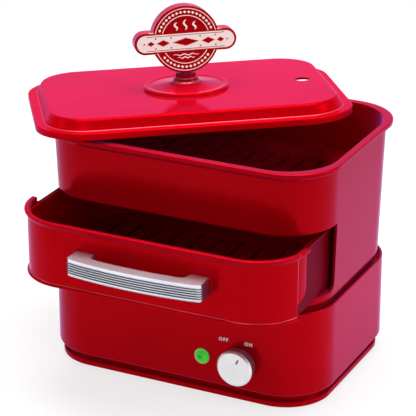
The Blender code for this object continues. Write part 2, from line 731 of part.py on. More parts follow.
def make_wiring(parent):
    """Terminal block on the cover, gland in the back wall and the sleeved wires between them."""
    top = COVER_WALL + SEAT_GAP + TERMINAL_HEIGHT
    half_x = TERMINAL_LENGTH / 2
    half_y = TERMINAL_DEPTH / 2
    outline = box_outline(GLAND_X - half_x, GLAND_X + half_x, TERMINAL_Y - half_y, TERMINAL_Y + half_y)
    prism("terminal_block", outline, COVER_WALL + SEAT_GAP, top, parent, "white nylon")
    inner = -GLAND_LENGTH + GLAND_FLANGE
    gland = [
        (GLAND_RADIUS, inner),
        (GLAND_RADIUS, SEAT_GAP),
        (GLAND_FLANGE_RADIUS, SEAT_GAP),
        (GLAND_FLANGE_RADIUS, SEAT_GAP + GLAND_FLANGE - GLAND_BEVEL),
        (GLAND_FLANGE_RADIUS - GLAND_BEVEL, SEAT_GAP + GLAND_FLANGE),
        (GLAND_BORE, SEAT_GAP + GLAND_FLANGE),
        (GLAND_BORE, inner),
    ]
    backwards = Matrix.Rotation(math.radians(-90), 4, "X")
    outwards = Matrix.Translation((GLAND_X, BACK_FACE, GLAND_HEIGHT)) @ backwards
    turned("cord_gland", gland, parent, "black plastic", outwards, joined=True)
    wire_gap = SEAT_GAP + WIRE_RADIUS / 10
    switch_back = FRONT_FACE + BASE_WALL + SEAT_GAP * 2 + SWITCH_DEPTH
    lamp_back = FRONT_FACE + LAMP_BARREL_LENGTH + SEAT_GAP * 2 + LAMP_PLUG_HEAD
    pin_x = ELEMENT_LEG / 2 + ELEMENT_BEND
    pin_z = TRAY_FLOOR - SEAT_GAP - ELEMENT_RADIUS - ELEMENT_BEND - ELEMENT_TAIL - wire_gap
    pin_y = ELEMENT_SPREAD / 2
    disc_z = TRAY_FLOOR - SEAT_GAP - THERMOSTAT_HEIGHT - wire_gap
    pitch = TERMINAL_LENGTH / 3
    lamp_terminal, return_terminal, supply_terminal = (GLAND_X + i * pitch for i in (-1, 0, 1))
    blade = SWITCH_WIDTH / 4
    lift = TERMINAL_HEIGHT
    start_z = top + wire_gap
    routes = {
        "wire_supply": [
            (supply_terminal, TERMINAL_Y, start_z),
            (supply_terminal, TERMINAL_Y, start_z + lift / 2),
            (supply_terminal, 0.0, start_z + lift),
            (SWITCH_X + blade, switch_back + lift, CONTROL_HEIGHT - blade),
            (SWITCH_X + blade, switch_back, CONTROL_HEIGHT - blade),
        ],
        "wire_feed": [
            (SWITCH_X - blade, switch_back, CONTROL_HEIGHT + blade),
            (SWITCH_X - blade, switch_back + lift, CONTROL_HEIGHT + blade),
            (THERMOSTAT_RADIUS / 2, -lift, disc_z - lift),
            (THERMOSTAT_RADIUS / 2, 0.0, disc_z - lift / 2),
            (THERMOSTAT_RADIUS / 2, 0.0, disc_z),
        ],
        "wire_heater": [
            (-THERMOSTAT_RADIUS / 2, 0.0, disc_z),
            (-THERMOSTAT_RADIUS / 2, 0.0, disc_z - lift / 2),
            (0.0, pin_y / 2, disc_z - lift * 2),
            (pin_x / 2, pin_y, pin_z - lift),
            (pin_x, pin_y, pin_z - lift / 2),
            (pin_x, pin_y, pin_z),
        ],
        "wire_return": [
            (pin_x, -pin_y, pin_z),
            (pin_x, -pin_y, pin_z - lift / 2),
            (return_terminal, 0.0, start_z + lift),
            (return_terminal, TERMINAL_Y, start_z + lift / 2),
            (return_terminal, TERMINAL_Y, start_z),
        ],
        "wire_lamp": [
            (LAMP_X, lamp_back, CONTROL_HEIGHT),
            (LAMP_X, lamp_back + lift / 2, CONTROL_HEIGHT),
            (lamp_terminal, TERMINAL_Y - lift, start_z + lift / 2),
            (lamp_terminal, TERMINAL_Y, start_z + lift / 2),
            (lamp_terminal, TERMINAL_Y, start_z),
        ],
    }
    for name, points in routes.items():
        route = smooth_route(points, WIRE_STEPS)
        tube(name, route, WIRE_RADIUS, parent, "wire sleeve", resolution=1)


def housing_inset(z):
    """Inset of the drafted housing wall at a height."""
    share = (z - HOUSING_BOTTOM) / (RIM_TOP - HOUSING_BOTTOM)
    return HOUSING_INSET_LOW + (HOUSING_INSET_HIGH - HOUSING_INSET_LOW) * share


def make_housing(parent):
    """One moulded shell: collar, sill with the drawer's rails, posts, rack ledge and rim."""
    rim_low = RIM_TOP - RIM_HEIGHT
    rim_out = HOUSING_INSET_HIGH - RIM_OVERHANG - RIM_BEVEL
    collar_low = SHELF_TOP + SEAT_GAP
    collar_in = COLLAR_INSET + COLLAR_WALL
    inner_top = housing_inset(RIM_TOP) + HOUSING_WALL
    inner_ledge = housing_inset(RACK_LEDGE_TOP) + HOUSING_WALL
    inner_sill = housing_inset(SILL_TOP) + HOUSING_WALL
    profile = [
        (COLLAR_INSET, collar_low),
        (COLLAR_INSET, HOUSING_BOTTOM),
        (HOUSING_INSET_LOW + HOUSING_EDGE, HOUSING_BOTTOM),
        (HOUSING_INSET_LOW, HOUSING_BOTTOM + HOUSING_EDGE),
        (housing_inset(rim_low - RIM_COVE), rim_low - RIM_COVE),
        (HOUSING_INSET_HIGH - RIM_OVERHANG * COVE_SHARES[0], rim_low - RIM_COVE * COVE_SHARES[1]),
        (rim_out, rim_low + RIM_BEVEL),
        (rim_out, RIM_TOP - RIM_BEVEL),
        (rim_out + RIM_BEVEL, RIM_TOP),
        (inner_top, RIM_TOP),
        (inner_ledge, RACK_LEDGE_TOP),
        (inner_ledge + RACK_LEDGE_WIDTH, RACK_LEDGE_TOP),
        (inner_ledge + RACK_LEDGE_WIDTH, RACK_LEDGE_TOP - LEDGE_THICKNESS),
        (inner_ledge, RACK_LEDGE_TOP - LEDGE_THICKNESS),
        (inner_sill, SILL_TOP),
        (inner_sill + RAIL_WIDTH, SILL_TOP),
        (inner_sill + RAIL_WIDTH, SILL_TOP - LEDGE_THICKNESS),
        (collar_in, SILL_TOP - LEDGE_THICKNESS),
        (collar_in, collar_low),
    ]
    rings = [level(housing_outline(i), z) for i, z in profile]
    shell = loft("housing_shell", rings, parent, "red gloss", "joined")
    post = FRONT_FACE + POST_SETBACK
    reach = FRONT_FACE - CUT_OVERRUN
    rounding = arc((post - BAY_CORNER, SILL_TOP + BAY_CORNER), BAY_CORNER, -90, 0, 4)
    side_view = [(reach, SILL_TOP), *rounding, (post, BAY_TOP), (reach, BAY_TOP)]
    sideways = Matrix(((0, 0, 1, 0), (1, 0, 0, 0), (0, 1, 0, 0), (0, 0, 0, 1)))
    half = BODY_LENGTH / 2 + CUT_OVERRUN
    cut(shell, many_prisms("bay_cutter", [side_view], -half, half, parent, sideways))


def make_bun_rack(parent):
    """Loose perforated rack with a raised border, laid on the housing's ledge."""
    low = RACK_LEDGE_TOP + SEAT_GAP
    outer = housing_inset(RACK_LEDGE_TOP) + HOUSING_WALL + RUN_GAP
    top = low + RACK_BORDER
    profile = [
        (outer, low),
        (outer, top),
        (outer + RACK_BORDER_WALL, top),
        (outer + RACK_BORDER_WALL, low + RACK_SHEET),
    ]
    rack = loft("bun_rack", [level(housing_outline(i), z) for i, z in profile], parent, "red gloss")
    margin = outer + RACK_LEDGE_WIDTH + RACK_SLOT_LENGTH / 2
    span_x = BODY_LENGTH - 2 * (outer + RACK_LEDGE_WIDTH + BODY_CORNER / 4)
    span_y = BODY_DEPTH - 2 * margin
    slots = [
        slot_outline(x, y, RACK_SLOT_WIDTH, RACK_SLOT_LENGTH)
        for x in pattern(span_x, RACK_SLOT_PITCH_X)
        for y in pattern(span_y, RACK_SLOT_PITCH_Y)
    ]
    cut(rack, many_prisms("rack_cutter", slots, low - CUT_OVERRUN, low + RACK_SHEET + CUT_OVERRUN, parent))


def offset_outline(points, distances):
    """Moves each vertex of a closed counter-clockwise outline outwards by its own distance."""
    moved = []
    count = len(points)
    for i, point in enumerate(points):
        before = Vector(point) - Vector(points[i - 1])
        after = Vector(points[(i + 1) % count]) - Vector(point)
        n0 = Vector((before.y, -before.x)).normalized()
        n1 = Vector((after.y, -after.x)).normalized()
        mitre = (n0 + n1) / (1 + n0.dot(n1))
        moved.append(tuple(Vector(point) + mitre * distances[i]))
    return moved


def drawer_inset():
    """Inset of the drawer front from the body outline: a little behind the housing's wall."""
    return housing_inset((DRAWER_TOP + SILL_TOP) / 2) + DRAWER_SETBACK


def drawer_corner_centre():
    """Centre of the drawer front's right corner."""
    inset = drawer_inset()
    return BODY_LENGTH / 2 - inset - DRAWER_CORNER, FRONT_FACE + inset + DRAWER_CORNER


def make_drawer_front(parent):
    """Bent front with a rolled lip and a lower bead; its ends go on as recessed wings."""
    centre = drawer_corner_centre()
    low = SILL_TOP + FRONT_GAP
    top = DRAWER_TOP
    rear = FRONT_FACE + POST_SETBACK - WING_REAR_GAP
    start_angle = FRONT_END_ANGLE + math.degrees(WING_START / DRAWER_CORNER)
    lip_low = top - LIP_HEIGHT
    lip = [
        (0.0, lip_low - LIP_REACH),
        *((LIP_REACH * r, lip_low + LIP_HEIGHT * h) for r, h in LIP_SHARES),
        (LIP_REACH, top - PANEL_BEVEL),
        (LIP_REACH - PANEL_BEVEL, top),
        (-FRONT_WALL, top),
    ]
    bead_top = low + BEAD_HEIGHT
    panel = [
        (-FRONT_WALL, low),
        (BEAD_REACH, low),
        (BEAD_REACH, bead_top),
        (0.0, bead_top + BEAD_REACH / 2),
        *lip,
    ]
    stations = [(270 + FRONT_END_ANGLE * i / CORNER_STEPS, panel) for i in range(CORNER_STEPS + 1)]
    bevel = math.degrees(PANEL_BEVEL / DRAWER_CORNER)
    stations[-1] = (270 + FRONT_END_ANGLE - bevel, panel)
    end_panel = [(d - PANEL_BEVEL if d >= 0 else d, z) for d, z in panel[:5]] + lip[1:]
    stations.append((270 + FRONT_END_ANGLE, end_panel))
    wing_steps = CORNER_STEPS // 2
    wing_out = -WING_RECESS
    for i in range(wing_steps + 1):
        share = i / wing_steps
        edge = low + WING_LIFT + WING_SLOPE * share * share
        angle = 270 + start_angle + (90 - start_angle) * share
        wing = [(-FRONT_WALL - WING_RECESS, edge), (wing_out, edge)]
        wing += [(wing_out, edge + PANEL_BEVEL), (wing_out, edge + PANEL_BEVEL * 2)]
        wing += [(wing_out, lip_low - LIP_REACH), *lip[1:-1], (-FRONT_WALL - WING_RECESS, top)]
        stations.append((angle, wing))
    rings = []
    for angle, section in stations:
        c = math.cos(math.radians(angle))
        n = math.sin(math.radians(angle))
        reaches = [(DRAWER_CORNER + d, z) for d, z in section]
        rings.append([(centre[0] + c * r, centre[1] + n * r, z) for r, z in reaches])
    tail = WING_SLOPE * WING_TAIL_SHARE
    rings.append([(x, rear, z + tail if i < 4 else z) for i, (x, _, z) in enumerate(rings[-1])])
    left = [[(-x, y, z) for x, y, z in ring] for ring in reversed(rings)]
    return loft("drawer_front", left + rings, parent, "red gloss")


def make_drawer_tray(parent):
    """Moulded tray behind the front: inset sides with a rim, and a slotted floor."""
    centre_x, centre_y = drawer_corner_centre()
    radius = DRAWER_CORNER - FRONT_WALL - SEAT_GAP
    side = centre_x + DRAWER_CORNER - SIDE_STEP
    meet = math.degrees(math.acos((side - centre_x) / radius))
    front = centre_y - radius
    back = BACK_FACE - housing_inset(SILL_TOP) - HOUSING_WALL - DRAWER_REAR_GAP
    wing_rear = FRONT_FACE + POST_SETBACK - WING_REAR_GAP
    wing_inner = DRAWER_CORNER - FRONT_WALL - WING_RECESS - SEAT_GAP
    top = DRAWER_TOP - SIDE_DROP
    right = [(x, y, 0.0) for x, y in arc((centre_x, centre_y), radius, 270, 360 - meet, CORNER_STEPS)]
    meet_y = right[-1][1]
    for i in range(1, 4):
        y = meet_y + (centre_y - meet_y) * i / 4
        reach = centre_x + math.sqrt(wing_inner ** 2 - (centre_y - y) ** 2) - side
        right.append((side, y, max(reach, 0.0)))
    full = centre_x + wing_inner - side
    right += [(side, centre_y, full), (side, wing_rear, full), (side, wing_rear + full / 2, DRAWER_FLANGE)]
    corner = (side - DRAWER_REAR_CORNER, back - DRAWER_REAR_CORNER)
    right += [(x, y, DRAWER_FLANGE) for x, y in arc(corner, DRAWER_REAR_CORNER, 0, 90, CORNER_STEPS)]
    loop = right + [(-x, y, f) for x, y, f in reversed(right)]
    outline = [(x, y) for x, y, _ in loop]
    flange = [f for _, _, f in loop]
    low = SILL_TOP + SEAT_GAP

    def ring(distances, z):
        return level(offset_outline(outline, distances), z)

    count = len(outline)
    flange = [max(f, SEAT_GAP / 10) for f in flange]
    rings = [
        ring([-DRAWER_WALL / 2] * count, low),
        ring([0.0] * count, low + DRAWER_WALL / 2),
        ring([0.0] * count, top - DRAWER_FLANGE_HEIGHT),
        ring(flange, top - DRAWER_FLANGE_HEIGHT),
        ring(flange, top),
        ring([-DRAWER_WALL] * count, top),
        ring([-DRAWER_WALL] * count, low + DRAWER_FLOOR),
    ]
    tray = loft("drawer_tray", rings, parent, "red gloss")
    span_x = 2 * (side - DRAWER_WALL - DRAWER_SLOT_PITCH_X / 2)
    span_y = back - front - DRAWER_SLOT_LENGTH - DRAWER_CORNER / 2
    middle = (back + front) / 2
    slots = [
        slot_outline(x, middle + y, DRAWER_SLOT_WIDTH, DRAWER_SLOT_LENGTH)
        for x in pattern(span_x, DRAWER_SLOT_PITCH_X)
        for y in pattern(span_y, DRAWER_SLOT_PITCH_Y)
    ]
    over = low + DRAWER_FLOOR + CUT_OVERRUN
    cut(tray, many_prisms("tray_cutter", slots, low - CUT_OVERRUN, over, parent))
    return tray, front


def handle_screw_places():
    return [sx * (HANDLE_LENGTH / 2 - HANDLE_ARM / 2) for sx in (-1, 1)]


def handle_outline():
    """Plan of the handle: feet against the front, filleted arms and a bowed bar."""
    half = HANDLE_LENGTH / 2
    arm = HANDLE_ARM
    reach = HANDLE_REACH
    inner = half - arm
    bar_back = reach - HANDLE_BAR
    bow_steps = 8

    def bow(x):
        return HANDLE_BOW * (1 - (x / half) ** 2)

    back_points = []
    fillet = arc((inner - HANDLE_FILLET, bar_back - HANDLE_FILLET), HANDLE_FILLET, 0, 90, 4)
    back_points += fillet
    span = inner - HANDLE_FILLET
    xs = [span - 2 * span * i / bow_steps for i in range(1, bow_steps)]
    back_points += [(x, bar_back + bow(x) - bow(inner)) for x in xs]
    back_points += [(-x, y) for x, y in reversed(fillet)]
    front_points = []
    corner = arc((-half + HANDLE_CORNER, reach - HANDLE_CORNER), HANDLE_CORNER, 180, 90, 4)
    front_points += corner
    xs = [-half + HANDLE_CORNER + 2 * (half - HANDLE_CORNER) * i / bow_steps for i in range(1, bow_steps)]
    front_points += [(x, reach + bow(x)) for x in xs]
    front_points += [(-x, y) for x, y in reversed(corner)]
    outline = [(half, 0.0), (inner, 0.0), *back_points, (-inner, 0.0), (-half, 0.0), *front_points]
    first_front = 4 + len(back_points)
    is_front = [i >= first_front for i in range(len(outline))]
    return [(x, -y) for x, y in outline], is_front


def make_handle(parent, panel, tray, tray_front):
    """Silver-grey pull with grooves along its face, screwed on from inside the drawer."""
    outline, is_front = handle_outline()
    front = FRONT_FACE + drawer_inset()
    seat = front - SEAT_GAP
    low = HANDLE_MIDDLE - HANDLE_HEIGHT / 2
    high = HANDLE_MIDDLE + HANDLE_HEIGHT / 2
    edge = HANDLE_EDGE
    levels = [(low, edge), (low + edge, 0.0)]
    first = high - GROOVE_FIRST - (GROOVE_COUNT - 1) * GROOVE_PITCH
    for i in range(GROOVE_COUNT):
        middle = first + i * GROOVE_PITCH
        half = GROOVE_WIDTH / 2
        levels += [(middle - half, 0.0), (middle - half / 2, GROOVE_DEPTH)]
        levels += [(middle + half / 2, GROOVE_DEPTH), (middle + half, 0.0)]
    levels += [(high - edge, 0.0), (high, edge)]
    rings = []
    for z, depth in levels:
        distances = [depth if f else 0.0 for f in is_front]
        moved = offset_outline(outline, distances)
        rings.append([(x, y + seat, z) for x, y in moved])
    handle = loft("handle", rings, parent, "silver grey")
    holes = [circle(x, HANDLE_MIDDLE, SCREW_RADIUS + SEAT_GAP, 12) for x in handle_screw_places()]
    screw_tip = -(seat - HANDLE_SCREW_BITE)
    inside = -(tray_front + DRAWER_WALL + CUT_OVERRUN)
    outside = screw_tip + RUN_GAP
    plane = front_matrix(0, 0, 0)
    for i, target in enumerate((panel, tray, handle), start=1):
        cut(target, many_prisms(f"handle_screw_cutter_{i}", holes, inside, outside, parent, plane))
    head = tray_front + DRAWER_WALL + SEAT_GAP + SCREW_HEAD_HEIGHT
    for side, x in zip(("left", "right"), handle_screw_places()):
        matrix = Matrix.Translation((x, head, HANDLE_MIDDLE)) @ FRONT_AXIS
        make_screw(f"handle_screw_{side}", matrix, head + screw_tip, parent)


def lid_half_sizes():
    out = RIM_OVERHANG + RIM_BEVEL - HOUSING_INSET_HIGH + LID_CLEARANCE + LID_SKIRT_WALL
    return BODY_LENGTH / 2 + out, BODY_DEPTH / 2 + out


def lid_outline(inset):
    half_x, half_y = lid_half_sizes()
    return rounded_outline(half_x - inset, half_y - inset, LID_CORNER - inset)


def lid_underside():
    """(inset, height) points of the lid's inner face, from the skirt to the panel."""
    step = LID_WALL
    ledge = LID_LEDGE + LID_WALL
    return [
        (LID_SKIRT_WALL, -step),
        (ledge, -step),
        (ledge + LID_SHOULDER, LID_RISE - LID_RISE_ROUND - step),
        (ledge + LID_SHOULDER + LID_PANEL_ROUND, LID_RISE - step),
    ]


def outline_inset(points, half_x, half_y, corner):
    """Distance inwards from a rounded rectangle's edge, for each point."""
    qx = np.abs(points[:, 0]) - (half_x - corner)
    qy = np.abs(points[:, 1]) - (half_y - corner)
    outside = np.hypot(np.maximum(qx, 0), np.maximum(qy, 0))
    return corner - outside - np.minimum(np.maximum(qx, qy), 0)


def walk(outline):
    """Points along a closed outline, no further apart than the sampling step."""
    found = []
    for (x0, y0), (x1, y1) in zip(outline, outline[1:] + outline[:1]):
        pieces = max(1, math.ceil(math.hypot(x1 - x0, y1 - y0) / RIM_SAMPLE))
        found += [(x0 + (x1 - x0) * i / pieces, y0 + (y1 - y0) * i / pieces) for i in range(pieces)]
    return np.array(found)


def resting_face(points, x, y):
    """The three points that carry a plate laid on top of all of them, its middle at (x, y).

    It starts from a wide low triangle. The point that stands highest above the triangle's
    plane replaces a corner, so that the middle stays inside, until none stands above it."""
    far = BODY_LENGTH * 10
    angles = [math.radians(90 + 120 * i) for i in range(3)]
    corners = [np.array([x + far * math.cos(a), y + far * math.sin(a), -far]) for a in angles]
    for _ in range(200):
        normal = np.cross(corners[1] - corners[0], corners[2] - corners[0])
        normal = normal / normal[2]
        above = (points - corners[0]) @ normal
        highest = points[np.argmax(above)]
        if above.max() < SEAT_GAP / 1000:
            break
        for i in range(3):
            tried = [*corners[:i], highest, *corners[i + 1:]]
            if surrounds(tried, x, y):
                corners = tried
                break
    return Vector(normal).normalized(), Vector(corners[0])


def surrounds(corners, x, y):
    """Whether a counter-clockwise triangle holds the place in plan."""
    pairs = zip(corners, corners[1:] + corners[:1])
    return all((b[0] - a[0]) * (y - a[1]) >= (b[1] - a[1]) * (x - a[0]) for a, b in pairs)


def lid_pose():
    """The matrix in which the lid leans on the rim, borne by three points around its middle."""
    rim_out = HOUSING_INSET_HIGH - RIM_OVERHANG - RIM_BEVEL
    rim_in = HOUSING_INSET_HIGH + HOUSING_WALL
    rim = np.concatenate([walk(housing_outline(rim_out + (rim_in - rim_out) * i / 5)) for i in range(6)])
    half_x, half_y = lid_half_sizes()
    inner = lid_underside()
    turn = math.radians(LID_TURN)
    start = Matrix.Translation((LID_SHIFT_X, LID_SHIFT_Y, RIM_TOP + LID_SKIRT))
    pose = start @ Matrix.Rotation(turn, 4, "Z")
    for _ in range(5):
        back = np.array(pose.inverted())
        world = np.column_stack([rim, np.full(len(rim), RIM_TOP), np.ones(len(rim))])
        local = world @ back.T
        inset = outline_inset(local[:, :2], half_x, half_y, LID_CORNER)
        under = np.interp(inset, [p[0] for p in inner], [p[1] for p in inner])
        in_skirt = (inset > -LID_EDGE) & (inset < LID_SKIRT_WALL + LID_CONTACT_GAP)
        under = np.where(in_skirt, -LID_SKIRT, under)
        touching = inset > -LID_EDGE
        slope = pose.to_3x3().col[2].z
        heights = RIM_TOP + (LID_CONTACT_GAP - under) / slope
        places = np.column_stack([rim, heights])[touching]
        normal, point = resting_face(places, LID_SHIFT_X, LID_SHIFT_Y)
        run = normal.x * (LID_SHIFT_X - point.x) + normal.y * (LID_SHIFT_Y - point.y)
        height = point.z - run / normal.z
        along = Vector((math.cos(turn), math.sin(turn), 0.0))
        along = (along - normal * along.dot(normal)).normalized()
        across = normal.cross(along)
        pose = Matrix((along, across, normal)).transposed().to_4x4()
        pose.translation = (LID_SHIFT_X, LID_SHIFT_Y, height)
    return pose


def make_lid(parent):
    """Red moulded lid: skirt, flat ledge, rounded shoulder and raised panel with a steam hole."""
    inner = lid_underside()
    ledge = LID_LEDGE
    outer_profile = [
        (LID_EDGE / 2, -LID_SKIRT),
        (0.0, -LID_SKIRT + LID_EDGE / 2),
        (0.0, -LID_EDGE),
        (LID_EDGE, 0.0),
        (ledge, 0.0),
        (ledge + LID_SHOULDER, LID_RISE - LID_RISE_ROUND),
        (ledge + LID_SHOULDER + LID_PANEL_ROUND / 3, LID_RISE - LID_RISE_ROUND / 3),
        (ledge + LID_SHOULDER + LID_PANEL_ROUND, LID_RISE),
    ]
    rings = [level(lid_outline(i), z) for i, z in reversed(outer_profile)]
    rings.append(level(lid_outline(LID_SKIRT_WALL), -LID_SKIRT))
    rings += [level(lid_outline(i), z) for i, z in inner]
    shell = loft("lid_shell", rings, parent, "red gloss")
    holes = [
        circle(STEAM_HOLE_X, 0, STEAM_HOLE_RADIUS, 20),
        circle(0, 0, LID_SCREW_RADIUS + SEAT_GAP, 12),
    ]
    low = LID_RISE - LID_WALL - CUT_OVERRUN
    cut(shell, many_prisms("lid_cutter", holes, low, LID_RISE + CUT_OVERRUN, parent))


def sign_outline(radius, lobe_radius, reach, grow=0.0):
    """Disc with a round-ended bar through its middle, counter-clockwise, in the sign's plane."""
    r = radius + grow
    lobe = lobe_radius + grow
    centre_y = -LOBE_DROP
    meet_top = math.degrees(math.asin((centre_y + lobe) / r))
    meet_low = math.degrees(math.asin((centre_y - lobe) / r))
    tip = reach + grow - lobe
    right = arc((tip, centre_y), lobe, -90, 90, 8)
    left = arc((-tip, centre_y), lobe, 90, 270, 8)
    top = arc((0, 0), r, meet_top, 180 - meet_top, 16)
    low = arc((0, 0), r, 180 - meet_low, 360 + meet_low, 16)
    return right + top + left + low


def make_finial(parent):
    """Saucer and neck screwed on through the lid, and the sign plate standing on the neck."""
    base = LID_RISE + SEAT_GAP
    hole = LID_SCREW_RADIUS + SEAT_GAP
    top = LID_RISE + NECK_HEIGHT
    saucer_top = base + SAUCER_EDGE
    profile = [
        (hole, base),
        (SAUCER_RADIUS - SAUCER_EDGE / 3, base),
        (SAUCER_RADIUS, base + SAUCER_EDGE / 3),
        (SAUCER_RADIUS, saucer_top - SAUCER_EDGE / 3),
        (SAUCER_RADIUS - SAUCER_EDGE / 3, saucer_top),
        *((SAUCER_RADIUS * r, saucer_top + SAUCER_RISE * h) for r, h in SAUCER_SHARES),
        (COLLAR_RADIUS, saucer_top + SAUCER_RISE),
        (COLLAR_RADIUS, base + COLLAR_HEIGHT),
        (NECK_RADIUS, base + COLLAR_HEIGHT + SEAT_GAP),
        (NECK_RADIUS, top),
        (hole, top),
    ]
    turned("lid_knob", profile, parent, "red gloss", joined=True, steps=36)
    turn = Matrix.Rotation(math.radians(SIGN_TURN), 4, "Z")
    plane = turn @ Matrix.Translation((0, 0, LID_RISE + SIGN_HEIGHT)) @ FRONT_AXIS
    half = SIGN_THICKNESS / 2
    outline = sign_outline(SIGN_RADIUS, LOBE_RADIUS, LOBE_REACH)
    small = sign_outline(SIGN_RADIUS, LOBE_RADIUS, LOBE_REACH, -SIGN_BEVEL)
    stages = [(small, -half), (outline, -half + SIGN_BEVEL), (outline, half - SIGN_BEVEL), (small, half)]
    rings = [[plane @ Vector((x, y, z)) for x, y in ring] for ring, z in stages]
    sign = loft("sign_plate", rings, parent, "red gloss")
    seat = top + SEAT_GAP
    block = box_outline(-SIGN_RADIUS, SIGN_RADIUS, -SIGN_RADIUS, SIGN_RADIUS)
    cut(sign, many_prisms("sign_seat_cutter", [block], LID_RISE - SIGN_RADIUS, seat, parent))
    thread = [circle(0, 0, hole, 12)]
    thread_end = seat + LID_SCREW_BITE + RUN_GAP
    cut(sign, many_prisms("sign_thread_cutter", thread, seat - CUT_OVERRUN, thread_end, parent))
    face = half + SEAT_GAP
    face_top = face + INLAY_HEIGHT
    outer = circle(0, 0, SIGN_RING_RADIUS, 40)
    inner = circle(0, 0, SIGN_RING_RADIUS - SIGN_RING_WIDTH, 40)
    make_inlay("sign_ring", outer, inner, face, face_top, plane, parent)
    tip = LOBE_REACH - LOBE_RADIUS
    bars = [
        arc((tip, -LOBE_DROP), radius, -90, 90, 8) + arc((-tip, -LOBE_DROP), radius, 90, 270, 8)
        for radius in (BANNER_RADIUS, BANNER_RADIUS - BANNER_LINE)
    ]
    low = face_top + SEAT_GAP
    make_inlay("sign_banner", *bars, low, low + INLAY_HEIGHT, plane, parent)
    under = LID_RISE - LID_WALL - SEAT_GAP
    washer = [
        (hole, under - WASHER_THICKNESS),
        (WASHER_RADIUS, under - WASHER_THICKNESS),
        (WASHER_RADIUS, under),
        (hole, under),
    ]
    turned("lid_washer", washer, parent, "steel", steps=20, joined=True)
    head = under - WASHER_THICKNESS - SEAT_GAP
    tip = seat + LID_SCREW_BITE
    screw = [
        (LID_SCREW_HEAD * r, head - LID_SCREW_HEAD_HEIGHT * (1 - h)) for r, h in SCREW_HEAD_SHARES
    ]
    screw += [(LID_SCREW_RADIUS, head), (LID_SCREW_RADIUS, tip)]
    turned("lid_screw", screw, parent, "steel", steps=16)


def make_inlay(name, outer, inner, low, high, plane, parent):
    """Raised cream line between two outlines with the same number of points."""
    rings = []
    for outline, z in ((outer, low), (outer, high), (inner, high), (inner, low)):
        rings.append([plane @ Vector((x, y, z)) for x, y in outline])
    loft(name, rings, parent, "cream", "joined")


def main():
    clear_scene()
    base = empty("base_frame", Matrix.Identity(4))
    knob_axis = empty("knob_axis", front_matrix(SWITCH_X, CONTROL_HEIGHT))
    housing = empty("housing_lift", Matrix.Identity(4))
    drawer = empty("drawer_slide", Matrix.Translation((0, -DRAWER_OPEN, 0)))
    lid = empty("lid_lift", lid_pose())
    make_base_casing(base)
    make_bottom_cover(base)
    make_water_tray(base)
    make_heater(base)
    make_switch(base, knob_axis)
    make_lamp(base)
    make_wiring(base)
    make_housing(housing)
    make_bun_rack(housing)
    panel = make_drawer_front(drawer)
    tray, tray_front = make_drawer_tray(drawer)
    make_handle(drawer, panel, tray, tray_front)
    make_lid(lid)
    make_finial(lid)


main()
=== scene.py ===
import math

import bmesh
import bpy
from mathutils import Matrix, Vector


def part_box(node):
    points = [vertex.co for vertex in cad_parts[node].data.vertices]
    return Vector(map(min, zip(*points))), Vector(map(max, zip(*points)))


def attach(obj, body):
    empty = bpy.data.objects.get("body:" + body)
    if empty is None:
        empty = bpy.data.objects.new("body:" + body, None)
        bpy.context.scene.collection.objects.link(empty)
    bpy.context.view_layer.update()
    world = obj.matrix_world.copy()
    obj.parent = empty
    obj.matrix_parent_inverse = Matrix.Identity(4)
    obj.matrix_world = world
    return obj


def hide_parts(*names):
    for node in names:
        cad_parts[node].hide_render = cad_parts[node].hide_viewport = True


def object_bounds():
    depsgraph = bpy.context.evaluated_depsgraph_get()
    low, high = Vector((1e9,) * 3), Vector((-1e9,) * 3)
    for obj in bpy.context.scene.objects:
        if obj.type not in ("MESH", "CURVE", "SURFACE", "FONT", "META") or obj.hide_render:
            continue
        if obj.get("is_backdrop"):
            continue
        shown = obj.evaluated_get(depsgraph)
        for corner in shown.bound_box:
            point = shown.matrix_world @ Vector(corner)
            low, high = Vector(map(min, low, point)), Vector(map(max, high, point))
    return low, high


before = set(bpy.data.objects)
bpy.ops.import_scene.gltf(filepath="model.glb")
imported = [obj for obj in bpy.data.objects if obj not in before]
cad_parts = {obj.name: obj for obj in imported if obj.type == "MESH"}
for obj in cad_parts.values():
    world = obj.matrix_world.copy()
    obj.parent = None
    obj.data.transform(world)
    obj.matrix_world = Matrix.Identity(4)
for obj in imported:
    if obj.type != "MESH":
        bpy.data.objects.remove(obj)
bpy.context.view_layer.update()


# Camera
# A long lens looks down at the steamer's right front corner, from a height of about a metre.
def linked(name, mesh):
    made = bpy.data.objects.new(name, mesh)
    bpy.context.scene.collection.objects.link(made)
    return made


bpy.context.scene.view_settings.view_transform = "Standard"
camera = linked("camera", bpy.data.cameras.new("camera"))
bpy.context.scene.camera = camera
camera.data.lens = 173.8
camera.data.sensor_width = 36.0
camera.data.clip_end = 60.0
to_right = Vector((0.8984, 0.4392, 0.0))
to_back = Vector((0.4060, -0.8306, 0.3811))
camera.matrix_world = Matrix.Translation((0.9010, -1.8757, 1.0261)) @ Matrix(
    (to_right, to_back.cross(to_right), to_back)
).transposed().to_4x4()


# Photographer's table and lamps
# A white sweep carries the steamer under one wide soft box overhead. A tall soft box stands at its
# right, a weak one at its left, and a pale wall goes round that darkens with its height.
def node(tree, kind, settings=(), **inputs):
    """A node with its settings; its inputs take values, nodes or their outputs, by name or number."""
    made = tree.nodes.new(kind)
    for name, value in dict(settings).items():
        setattr(made, name, value)
    for name, value in inputs.items():
        numbered = name[0] == "i" and name[1:].isdigit()
        socket = made.inputs[int(name[1:]) if numbered else name.replace("_", " ")]
        if isinstance(value, bpy.types.Node):
            value = value.outputs[0]
        if isinstance(value, bpy.types.NodeSocket):
            tree.links.new(value, socket)
        else:
            socket.default_value = value
    return made


def maths(tree, operation, *values):
    numbered = {f"i{i}": value for i, value in enumerate(values)}
    return node(tree, "ShaderNodeMath", {"operation": operation}, **numbered).outputs[0]


